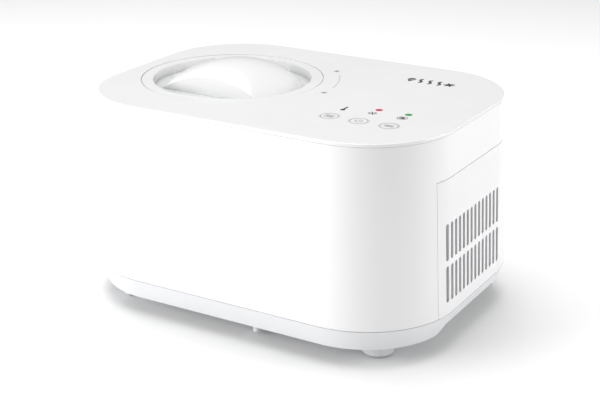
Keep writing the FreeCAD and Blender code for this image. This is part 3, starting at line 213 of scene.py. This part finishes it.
@dataclass(frozen=True)
class Moulding:
    """An injection-moulded plastic: flow marks and tool texture."""

    name: str
    colour: Colour
    roughness: float
    coat: float = 0.0
    grain_scale: float = 1400.0
    grain_depth: float = 0.00001
    dirt: float = 0.03
    flow_scale: float = 9.0
    smudge_scale: float = 42.0

    def build(self) -> bpy.types.Material:
        """Make the material."""
        shader = Shader(self.name)
        flow = shader.noise(self.flow_scale, 3.0)
        smudge = shader.noise(self.smudge_scale, 4.0)
        dull, bright = shade(self.colour, 1.0 - self.dirt), shade(self.colour, 1.0 + self.dirt / 2)
        colour = shader.mix(flow, dull, bright)
        rough = shader.ramp(smudge, 0.3, 0.7) * 0.08 + (self.roughness - 0.04)
        shader.set(Base_Color=colour, Roughness=rough, IOR=1.49)
        shader.set(Coat_Weight=self.coat, Coat_Roughness=0.06)
        grain = shader.noise(self.grain_scale, 2.0)
        shader.bump(grain, self.grain_depth, 0.6)
        return shader.material


@dataclass(frozen=True)
class ClearMoulding:
    """Clear or milky plastic with faint wipe marks in its gloss."""

    name: str
    colour: Colour
    clearness: float = 1.0

    def build(self) -> bpy.types.Material:
        """Make the material."""
        shader = Shader(self.name)
        wipes = shader.noise(30.0, 4.0, shader.stretched((1.0, 4.0, 1.0)))
        shader.set(Base_Color=shader.mix(wipes, shade(self.colour, 0.97), self.colour))
        shader.set(Roughness=shader.ramp(wipes, 0.45, 0.8) * 0.10 + 0.03)
        shader.set(Transmission_Weight=self.clearness, IOR=1.46)
        return shader.material


@dataclass(frozen=True)
class SpunMetal:
    """Sheet metal spun or turned about the bowl's axis, with its fine rings."""

    name: str
    colour: Colour
    roughness: float
    axis_x: float
    ring_scale: float = 2600.0

    def build(self) -> bpy.types.Material:
        """Make the material."""
        shader = Shader(self.name)
        shift = shader.node("ShaderNodeVectorMath", {"operation": "SUBTRACT"},
                            {0: shader.place(), 1: (self.axis_x, 0.0, 0.0)})
        flat = shader.node("ShaderNodeVectorMath", {"operation": "MULTIPLY"},
                           {0: shift, 1: (1.0, 1.0, 0.0)})
        radius = shader.node("ShaderNodeVectorMath", {"operation": "LENGTH"}, {0: flat}, output="Value")
        parts = shader.node("ShaderNodeSeparateXYZ", None, {0: shift}, output="Z")
        line = shader.node("ShaderNodeCombineXYZ", None, {0: radius, 1: parts, 2: 0.0})
        rings = shader.noise(self.ring_scale, 2.0, line)
        stain = shader.noise(25.0, 3.0)
        shader.set(Base_Color=shader.mix(rings, shade(self.colour, 0.88), shade(self.colour, 1.06)))
        shader.set(Roughness=rings * 0.12 + stain * 0.10 + (self.roughness - 0.11))
        shader.set(Metallic=1.0)
        shader.bump(rings, 0.00002, 0.35)
        return shader.material


@dataclass(frozen=True)
class DrawnMetal:
    """Bright or painted metal with handling marks and a little tarnish."""

    name: str
    colour: Colour
    tarnish: Colour
    roughness: float
    metallic: float = 1.0

    def build(self) -> bpy.types.Material:
        """Make the material."""
        shader = Shader(self.name)
        patch = shader.ramp(shader.noise(55.0, 5.0), 0.42, 0.72)
        scratch = shader.noise(700.0, 3.0, shader.stretched((1.0, 1.0, 0.08)))
        shader.set(Base_Color=shader.mix(patch, self.colour, self.tarnish))
        shader.set(Roughness=patch * 0.15 + scratch * 0.12 + (self.roughness - 0.06))
        shader.set(Metallic=self.metallic)
        shader.bump(scratch, 0.00002, 0.3)
        return shader.material


@dataclass(frozen=True)
class Rubber:
    """Matt rubber or silicone with a fine skin."""

    name: str
    colour: Colour
    roughness: float
    see_through: float = 0.0

    def build(self) -> bpy.types.Material:
        """Make the material."""
        shader = Shader(self.name)
        bloom = shader.noise(60.0, 4.0)
        shader.set(Base_Color=shader.mix(bloom, shade(self.colour, 0.85), shade(self.colour, 1.2)))
        shader.set(Roughness=bloom * 0.2 + (self.roughness - 0.1))
        shader.set(Transmission_Weight=self.see_through, IOR=1.42)
        shader.bump(shader.noise(2500.0, 2.0), 0.00004, 0.5)
        return shader.material


@dataclass(frozen=True)
class Foam:
    """Cut insulating foam with open cells."""

    name: str
    colour: Colour

    def build(self) -> bpy.types.Material:
        """Make the material."""
        shader = Shader(self.name)
        cells = shader.node("ShaderNodeTexVoronoi", None, {"Vector": shader.place(), "Scale": 420.0})
        age = shader.noise(14.0, 4.0)
        shader.set(Base_Color=shader.mix(age, shade(self.colour, 0.86), self.colour))
        shader.set(Roughness=cells * 0.2 + 0.75)
        shader.bump(cells, 0.0006, 0.7)
        return shader.material


@dataclass(frozen=True)
class CircuitBoard:
    """Solder mask over copper tracks."""

    name: str
    mask: Colour
    track: Colour

    def build(self) -> bpy.types.Material:
        """Make the material."""
        shader = Shader(self.name)
        sockets = {"Vector": shader.place(), "Scale": 240.0, "Randomness": 0.4}
        cells = shader.node("ShaderNodeTexVoronoi", {"feature": "DISTANCE_TO_EDGE"}, sockets)
        tracks = 1.0 - cells.above(0.09)
        shader.set(Base_Color=shader.mix(tracks, self.mask, self.track))
        shader.set(Roughness=shader.noise(300.0) * 0.15 + 0.25)
        shader.bump(tracks, 0.00003, 0.6)
        return shader.material


@dataclass(frozen=True)
class LitWindows:
    """Two tinted windows, told apart by where they stand along X."""

    name: str
    left: Colour
    right: Colour
    split_x: float
    glow: float

    def build(self) -> bpy.types.Material:
        """Make the material."""
        shader = Shader(self.name)
        across = shader.node("ShaderNodeSeparateXYZ", None, {0: shader.place()}, output="X")
        side = across.above(self.split_x)
        tint = shader.mix(side, self.left, self.right)
        shader.set(Base_Color=tint, Emission_Color=tint, Emission_Strength=self.glow)
        shader.set(Roughness=shader.noise(900.0) * 0.1 + 0.3, Specular_IOR_Level=0.2)
        return shader.material


@dataclass(frozen=True)
class PrintInk:
    """Pad-printed ink with slightly uneven cover."""

    name: str
    colour: Colour

    def build(self) -> bpy.types.Material:
        """Make the material."""
        shader = Shader(self.name)
        cover = shader.noise(2200.0, 2.0)
        shader.set(Base_Color=shader.mix(cover, shade(self.colour, 0.8), shade(self.colour, 1.25)))
        shader.set(Roughness=cover * 0.2 + 0.4)
        return shader.material


@dataclass(frozen=True)
class StudioPaper:
    """Seamless pale paper."""

    name: str
    colour: Colour

    def build(self) -> bpy.types.Material:
        """Make the material."""
        shader = Shader(self.name)
        fibre = shader.noise(600.0, 3.0)
        shader.set(Base_Color=shader.mix(fibre, shade(self.colour, 0.99), self.colour), Roughness=0.9)
        return shader.material


LID_X = (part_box("lid_seal")[0][0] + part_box("lid_seal")[1][0]) / 2
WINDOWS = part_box("indicator_windows")
WINDOWS_X = (WINDOWS[0][0] + WINDOWS[1][0]) / 2


class Finish(Enum):
    """The finishes that this machine wears."""

    SHELL = Moulding("shell_white", (0.83, 0.83, 0.835), 0.20, coat=0.35)
    GRILLE = Moulding("grille_white", (0.81, 0.81, 0.82), 0.20, coat=0.35)
    TRAY = Moulding("tray_pale_grey", (0.74, 0.75, 0.765), 0.38, grain_scale=3200.0, grain_depth=0.00003)
    CLEAR = ClearMoulding("lid_clear", (0.93, 0.94, 0.945), 0.35)
    SILICONE = Rubber("silicone_clear", (0.80, 0.82, 0.83), 0.45, see_through=0.3)
    PAD = Rubber("foot_rubber", (0.42, 0.43, 0.44), 0.75)
    GROMMET = Rubber("grommet_rubber", (0.035, 0.035, 0.037), 0.75)
    BOWL = SpunMetal("bowl_spun_aluminium", (0.78, 0.79, 0.80), 0.30, LID_X)
    SHEET = DrawnMetal("sheet_aluminium", (0.76, 0.77, 0.78), (0.62, 0.63, 0.64), 0.38)
    COPPER = DrawnMetal("copper_tube", (0.75, 0.40, 0.26), (0.42, 0.22, 0.14), 0.30)
    STEEL = DrawnMetal("bright_steel", (0.60, 0.61, 0.63), (0.42, 0.42, 0.43), 0.30)
    SCREW = DrawnMetal("zinc_screw", (0.58, 0.59, 0.61), (0.45, 0.45, 0.44), 0.34)
    BRONZE = DrawnMetal("sintered_bronze", (0.58, 0.40, 0.20), (0.36, 0.24, 0.12), 0.45)
    ENAMEL = DrawnMetal("black_enamel", (0.02, 0.02, 0.022), (0.035, 0.033, 0.03), 0.30, metallic=0.0)
    BLACK = Moulding("black_moulding", (0.03, 0.03, 0.032), 0.42, grain_scale=2600.0, grain_depth=0.00003)
    NYLON = Moulding("natural_nylon", (0.74, 0.71, 0.62), 0.40, dirt=0.05)
    PADDLE = Moulding("paddle_white", (0.80, 0.81, 0.815), 0.30, coat=0.1)
    FOAM = Foam("insulation_foam", (0.80, 0.74, 0.56))
    BOARD = CircuitBoard("circuit_board", (0.015, 0.13, 0.05), (0.05, 0.22, 0.09))
    LIGHTS = LitWindows("indicator_windows", (0.50, 0.012, 0.06), (0.008, 0.27, 0.035), WINDOWS_X, 0.12)
    INK = PrintInk("print_dark", (0.035, 0.035, 0.04))
    SOFT_INK = PrintInk("print_grey", (0.20, 0.20, 0.21))
    PAPER = StudioPaper("studio_paper", (0.93, 0.93, 0.93))


class Wardrobe:
    """Makes each finish once and hands it out."""

    def __init__(self) -> None:
        """Start with nothing made."""
        self.made: dict[Finish, bpy.types.Material] = {}

    def get(self, finish: Finish) -> bpy.types.Material:
        """The material of a finish."""
        if finish not in self.made:
            self.made[finish] = finish.value.build()
        return self.made[finish]

    def dress(self, piece: bpy.types.Object, finish: Finish) -> None:
        """Give a whole piece one finish."""
        piece.data.materials.clear()
        piece.data.materials.append(self.get(finish))


# ---- mesh helpers ----------------------------------------------------------


def new_piece(name: str, mesh: bmesh.types.BMesh, body: str) -> bpy.types.Object:
    """Turn a mesh into a piece that rides on a body.

    Args:
        name: the piece's name.
        mesh: its geometry, which is freed.
        body: the CAD body that it rides on.

    Returns:
        The new object.
    """
    data = bpy.data.meshes.new(name)
    bmesh.ops.recalc_face_normals(mesh, faces=mesh.faces)
    mesh.to_mesh(data)
    mesh.free()
    piece = bpy.data.objects.new(name, data)
    bpy.context.scene.collection.objects.link(piece)
    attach(piece, body)
    log.info("%s: %d faces on %s", name, len(data.polygons), body)
    return piece


def arc(centre: Point, radius: float, start: float, end: float, steps: int = 24) -> list[Point]:
    """Points along an arc.

    Args:
        centre: the arc's centre.
        radius: its radius.
        start: where it starts, in degrees from +X.
        end: where it ends.
        steps: how many short sides it has.

    Returns:
        The points in order.
    """
    turns = [math.radians(start + (end - start) * index / steps) for index in range(steps + 1)]
    return [(centre[0] + radius * math.cos(turn), centre[1] + radius * math.sin(turn)) for turn in turns]


class Print:
    """Raised ink on a level surface, drawn with strokes and filled shapes in millimetres."""

    def __init__(self, origin: Vector, thickness: float = 0.06) -> None:
        """Start an empty print.

        Args:
            origin: the point of the surface that is (0, 0), in metres.
            thickness: height of the ink, in millimetres.
        """
        self.origin = origin
        self.thickness = thickness
        self.mesh = bmesh.new()

    def _corner(self, spot: Point, level: float) -> bmesh.types.BMVert:
        """A vertex over a point of the drawing."""
        return self.mesh.verts.new(self.origin + Vector((spot[0], spot[1], level)) * MM)

    def fill(self, outline: Sequence[Point]) -> None:
        """Fill a closed outline.

        Args:
            outline: its points in order.
        """
        low = [self._corner(spot, INK_ROOT) for spot in outline]
        high = [self._corner(spot, self.thickness) for spot in outline]
        self.mesh.faces.new(high)
        self.mesh.faces.new(low[::-1])
        for index in range(len(outline)):
            after = (index + 1) % len(outline)
            self.mesh.faces.new((low[index], low[after], high[after], high[index]))

    def stroke(self, path: Sequence[Point], width: float, closed: bool = False) -> None:
        """Draw a line of constant width.

        Args:
            path: the line's points.
            width: its width.
            closed: whether it joins its own start.
        """
        count = len(path)
        sides: list[tuple[Point, Point]] = []
        for index, spot in enumerate(path):
            before = path[(index - 1) % count] if closed or index else spot
            after = path[(index + 1) % count] if closed or index < count - 1 else spot
            along = Vector((after[0] - before[0], after[1] - before[1])).normalized()
            across = Vector((-along.y, along.x)) * width / 2
            left = (spot[0] + across.x, spot[1] + across.y)
            right = (spot[0] - across.x, spot[1] - across.y)
            sides.append((left, right))
        rows = [
            [self._corner(left, self.thickness), self._corner(right, self.thickness),
             self._corner(right, INK_ROOT), self._corner(left, INK_ROOT)]
            for left, right in sides
        ]
        last = count if closed else count - 1
        for index in range(last):
            first, second = rows[index], rows[(index + 1) % count]
            for edge in range(4):
                other = (edge + 1) % 4
                self.mesh.faces.new((first[edge], first[other], second[other], second[edge]))
        if not closed:
            self.mesh.faces.new(rows[0])
            self.mesh.faces.new(rows[-1][::-1])

    def disc(self, centre: Point, radius: float) -> None:
        """Fill a circle."""
        self.fill(arc(centre, radius, 0, 350, 35))

    def hoop(self, centre: Point, radius: float, width: float) -> None:
        """Draw a circle."""
        self.stroke(arc(centre, radius, 0, 352.5, 47), width, closed=True)

    def spokes(self, centre: Point, radius: float, count: int, width: float) -> None:
        """Draw lines out from a centre."""
        for index in range(count):
            end = arc(centre, radius, 360 * index / count, 360 * index / count, 1)[0]
            self.stroke([centre, end], width)


# ---- sub-assemblies --------------------------------------------------------


@dataclass
class Housing:
    """The walls, deck, tray, grille and feet."""

    wardrobe: Wardrobe
    plan: dict[str, Finish] = field(default_factory=lambda: {
        "housing": Finish.SHELL, "top_cover": Finish.SHELL, "grille_panel": Finish.GRILLE,
        "base_tray": Finish.TRAY, "feet": Finish.TRAY, "foot_pads": Finish.PAD, "base_screws": Finish.SCREW,
        "cord_gland": Finish.BLACK,
    })

    def dress(self) -> None:
        """Give the housing's pieces their finishes."""
        dress_nodes(self.wardrobe, self.plan)


@dataclass
class Lid:
    """The flush twist lid and its grip."""

    wardrobe: Wardrobe
    plan: dict[str, Finish] = field(default_factory=lambda: {
        "lid_ring": Finish.SHELL, "lid_window": Finish.CLEAR, "lid_handle": Finish.SHELL,
        "lid_seal": Finish.SILICONE,
    })

    def dress(self) -> None:
        """Give the lid's pieces their finishes."""
        dress_nodes(self.wardrobe, self.plan)


@dataclass
class Controls:
    """Buttons, lamps and the marks printed beside them."""

    wardrobe: Wardrobe
    ink_width: float = 0.55
    cap_ink: float = 0.05
    ring_radius: float = 8.2
    ring_width: float = 0.45
    icon_drop: float = 8.8
    plan: dict[str, Finish] = field(default_factory=lambda: {
        "mix_button": Finish.SHELL, "power_button": Finish.SHELL, "menu_button": Finish.SHELL,
        "indicator_windows": Finish.LIGHTS, "indicator_lamps": Finish.LIGHTS,
        "control_board": Finish.BOARD, "button_switches": Finish.BLACK,
        "control_board_screws": Finish.SCREW,
    })

    def dress(self) -> None:
        """Give the controls their finishes."""
        dress_nodes(self.wardrobe, self.plan)

    def _top(self, node: str) -> Vector:
        """The middle of a node's top face."""
        low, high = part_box(node)
        return Vector(((low[0] + high[0]) / 2, (low[1] + high[1]) / 2, high[2]))

    def build(self) -> None:
        """Print the buttons and the deck."""
        self._button("mix_button", self._mix_mark)
        self._button("power_button", self._power_mark)
        self._button("menu_button", self._menu_mark)
        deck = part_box("top_cover")[1][2]
        mix, power, menu = (self._top(name) for name in ("mix_button", "power_button", "menu_button"))
        icon_y = WINDOWS[0][1] - self.icon_drop * MM
        for name, x, draw in (
            ("mark_temperature", mix.x + 0.7 * MM, self._thermometer),
            ("mark_snowflake", power.x - 0.5 * MM, self._snowflake),
            ("mark_keep_cold", menu.x - 0.4 * MM, self._keep_cold),
        ):
            mark = Print(Vector((x, icon_y, deck)))
            draw(mark)
            piece = new_piece(name, mark.mesh, "base")
            self.wardrobe.dress(piece, Finish.INK)

    def _button(self, node: str, draw: Callable[[Print], None]) -> None:
        """Print one button's cap.

        Args:
            node: the button.
            draw: what draws its mark.
        """
        mark = Print(self._top(node), self.cap_ink)
        mark.hoop((0, 0), self.ring_radius, self.ring_width)
        draw(mark)
        piece = new_piece(node + "_mark", mark.mesh, node + "_body")
        self.wardrobe.dress(piece, Finish.INK)

    def _mix_mark(self, mark: Print) -> None:
        """A churn: three blades in a rounded square."""
        mark.stroke([(-4.2, -3.2), (4.2, -3.2), (4.2, 3.2), (-4.2, 3.2)], self.ink_width, closed=True)
        for x in (-2.2, 0.0, 2.2):
            mark.stroke([(x, -2.0), (x, 2.0)], 1.0)

    def _power_mark(self, mark: Print) -> None:
        """An open ring with a bar."""
        mark.stroke(arc((0, 0), 3.2, 120, 420), self.ink_width)
        mark.stroke([(0, 0.6), (0, 4.2)], self.ink_width)

    def _menu_mark(self, mark: Print) -> None:
        """Three bars."""
        for y in (-2.0, 0.0, 2.0):
            mark.stroke([(-4.6, y), (4.6, y)], 0.75)

    def _thermometer(self, mark: Print) -> None:
        """A bulb under a slim tube."""
        mark.disc((0, -3.6), 2.4)
        mark.stroke([(0, -3), (0, 5.6)], 2.0)
        mark.disc((0, 5.6), 1.0)

    def _snowflake(self, mark: Print) -> None:
        """Six arms with side twigs."""
        mark.spokes((0, 0), 4.4, 6, 0.7)
        for index in range(6):
            turn = 60 * index
            root = arc((0, 0), 2.6, turn, turn, 1)[0]
            for side in (-42, 42):
                twig = arc(root, 1.7, turn + side, turn + side, 1)[0]
                mark.stroke([root, twig], 0.55)

    def _keep_cold(self, mark: Print) -> None:
        """A tub of ice cream in a ring."""
        mark.hoop((0, 0), 4.6, 0.6)
        mark.fill([(-2.6, -2.4), (2.6, -2.4), (3.1, 0.2), (-3.1, 0.2)])
        mark.fill(arc((0, 0.5), 2.4, 0, 180))


@dataclass
class Insides:
    """Everything under the covers."""

    wardrobe: Wardrobe
    plan: dict[str, Finish] = field(default_factory=lambda: {
        "bowl": Finish.BOWL, "cooling_well": Finish.BOWL, "paddle": Finish.PADDLE,
        "well_gasket": Finish.SILICONE, "shaft_seal": Finish.SILICONE,
        "evaporator_coil": Finish.COPPER, "condenser_tube": Finish.COPPER,
        "discharge_pipe": Finish.COPPER, "suction_pipe": Finish.COPPER, "filter_drier": Finish.COPPER,
        "well_insulation": Finish.FOAM, "temperature_sensor": Finish.BLACK,
        "drive_shaft": Finish.STEEL, "motor_shaft": Finish.STEEL, "gear_bracket": Finish.STEEL,
        "bracket_pillars": Finish.STEEL, "paddle_motor": Finish.STEEL, "bracket_screws": Finish.SCREW,
        "drive_gear": Finish.NYLON, "motor_pinion": Finish.NYLON,
        "upper_bush": Finish.BRONZE, "lower_bush": Finish.BRONZE,
        "compressor": Finish.ENAMEL, "compressor_grommets": Finish.GROMMET, "compressor_bolts": Finish.SCREW,
        "start_relay": Finish.BLACK, "condenser_fins": Finish.SHEET,
        "fan_shroud": Finish.BLACK, "fan_motor": Finish.BLACK, "fan_blades": Finish.BLACK,
        "power_board": Finish.BOARD, "power_board_components": Finish.BLACK,
        "power_board_posts": Finish.NYLON, "power_board_screws": Finish.SCREW,
    })

    def dress(self) -> None:
        """Give the hidden pieces their finishes."""
        dress_nodes(self.wardrobe, self.plan)


@dataclass
class DeckPrint:
    """The emblem and the lid's turning marks."""

    wardrobe: Wardrobe
    emblem_x: float = 99.9
    emblem_y: float = 81.0
    mark_radius: float = 107.0
    arc_ends: Point = (8, 34)
    locks: tuple[tuple[int, bool], ...] = ((-2, True), (42, False))

    def build(self) -> None:
        """Print the deck."""
        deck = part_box("top_cover")[1][2]
        emblem = Print(Vector((self.emblem_x * MM, self.emblem_y * MM, deck)))
        self._cone(emblem, -19.5)
        for start in (-11.0, -1.0, 9.0):
            emblem.stroke(self._wave(start, 9.0), 2.8)
        emblem.spokes((21.5, 0), 6.2, 6, 1.6)
        emblem.hoop((21.5, 0), 3.0, 1.2)
        self._finish(emblem, "deck_emblem", Finish.INK)
        turn = Print(Vector((LID_X, 0.0, deck)))
        turn.stroke(arc((0, 0), self.mark_radius, *self.arc_ends), 0.35)
        for degrees, opened in self.locks:
            spot = arc((0, 0), self.mark_radius, degrees, degrees, 1)[0]
            self._padlock(turn, spot, opened)
        self._finish(turn, "turn_marks", Finish.SOFT_INK)

    def _finish(self, mark: Print, name: str, finish: Finish) -> None:
        """Make a print into a piece."""
        self.wardrobe.dress(new_piece(name, mark.mesh, "base"), finish)

    def _wave(self, start: float, height: float) -> list[Point]:
        """Points of an upright wavy line."""
        steps = 16
        return [
            (start + 2.0 + 1.8 * math.sin(2 * math.pi * index / steps), height * (index / steps - 0.5) * 1.5)
            for index in range(steps + 1)
        ]

    def _cone(self, mark: Print, x: float) -> None:
        """An ice cream cone."""
        mark.fill([(x - 4.0, 0.2), (x, -7.0), (x + 4.0, 0.2)])
        mark.fill(arc((x, 1.4), 4.4, 0, 180))

    def _padlock(self, mark: Print, spot: Point, opened: bool) -> None:
        """A small padlock, open or shut."""
        x, y = spot
        mark.fill([(x - 2.2, y - 2.4), (x + 2.2, y - 2.4), (x + 2.2, y + 0.8), (x - 2.2, y + 0.8)])
        lean = 1.6 if opened else 0.0
        mark.stroke(arc((x + lean, y + 1.2), 1.4, 0, 180, 12), 0.5)


def dress_nodes(wardrobe: Wardrobe, plan: dict[str, Finish]) -> None:
    """Give CAD nodes their finishes.

    Args:
        wardrobe: where the finishes come from.
        plan: node names and their finishes.
    """
    for name, finish in plan.items():
        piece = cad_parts[name]
        wardrobe.dress(piece, finish)
        log.info("%s: %s", name, finish.name.lower())


# ---- studio ----------------------------------------------------------------


@dataclass
class Softbox:
    """One rectangular lamp that looks at the machine."""

    name: str
    place: tuple[float, float, float]
    size: tuple[float, float]
    watts: float

    def build(self) -> None:
        """Hang the lamp."""
        data = bpy.data.lights.new(self.name, "AREA")
        data.shape = "RECTANGLE"
        data.size, data.size_y = self.size
        data.energy = self.watts
        lamp = bpy.data.objects.new(self.name, data)
        lamp.location = self.place
        aim = Vector((0.0, 0.0, 0.1)) - Vector(self.place)
        lamp.rotation_euler = aim.to_track_quat("-Z", "Y").to_euler()
        bpy.context.scene.collection.objects.link(lamp)


LAMPS = (
    Softbox("key_left", (-1.55, -1.55, 0.65), (1.6, 1.1), 42.0),
    Softbox("right", (1.9, 1.0, 0.65), (1.2, 1.1), 22.0),
    Softbox("top", (-0.4, 0.2, 2.1), (2.0, 2.0), 36.0),
)


@dataclass
class Studio:
    """Pale floor, soft light and the camera."""

    wardrobe: Wardrobe
    azimuth: float = 30.41
    elevation: float = 20.38
    distance: float = 1.3782
    rise: float = 0.0929
    floor_level: float = -0.0061
    lens: float = 80.56
    sensor: float = 36.0
    floor_radius: float = 6.0
    room_light: float = 0.38

    def build(self) -> None:
        """Set up the floor, lamps, world and camera."""
        self._floor()
        for lamp in LAMPS:
            lamp.build()
        self._world()
        self._camera()

    def _floor(self) -> None:
        """Lay a wide disc of paper."""
        mesh = bmesh.new()
        bmesh.ops.create_circle(mesh, cap_ends=True, segments=96, radius=self.floor_radius)
        data = bpy.data.meshes.new("studio_floor")
        mesh.to_mesh(data)
        mesh.free()
        floor = bpy.data.objects.new("studio_floor", data)
        bpy.context.scene.collection.objects.link(floor)
        self.wardrobe.dress(floor, Finish.PAPER)

    def _world(self) -> None:
        """Fill the room with white light."""
        world = bpy.data.worlds.new("studio")
        world.use_nodes = True
        background = world.node_tree.nodes["Background"]
        background.inputs["Color"].default_value = (1.0, 1.0, 1.0, 1.0)
        background.inputs["Strength"].default_value = self.room_light
        bpy.context.scene.world = world
        bpy.context.scene.view_settings.view_transform = "Standard"

    def _camera(self) -> None:
        """Stand the camera at its azimuth and elevation, level, and aim it along them."""
        turn = math.radians(self.azimuth)
        tilt = math.radians(self.elevation)
        back = Vector((math.sin(turn) * math.cos(tilt), -math.cos(turn) * math.cos(tilt), math.sin(tilt)))
        right = (-back).cross(Vector((0.0, 0.0, 1.0))).normalized()
        up = right.cross(-back)
        data = bpy.data.cameras.new("camera")
        data.lens = self.lens
        data.sensor_width = self.sensor
        camera = bpy.data.objects.new("camera", data)
        camera.location = back * self.distance + up * self.rise + Vector((0.0, 0.0, self.floor_level))
        camera.rotation_euler = back.to_track_quat("Z", "Y").to_euler()
        bpy.context.scene.collection.objects.link(camera)
        bpy.context.scene.camera = camera


def main() -> None:
    """Dress the machine and set up its studio."""
    wardrobe = Wardrobe()
    Studio(wardrobe).build()
    Housing(wardrobe).dress()
    Lid(wardrobe).dress()
    controls = Controls(wardrobe)
    controls.dress()
    controls.build()
    DeckPrint(wardrobe).build()
    Insides(wardrobe).dress()


if __name__ == "__main__":
    main()
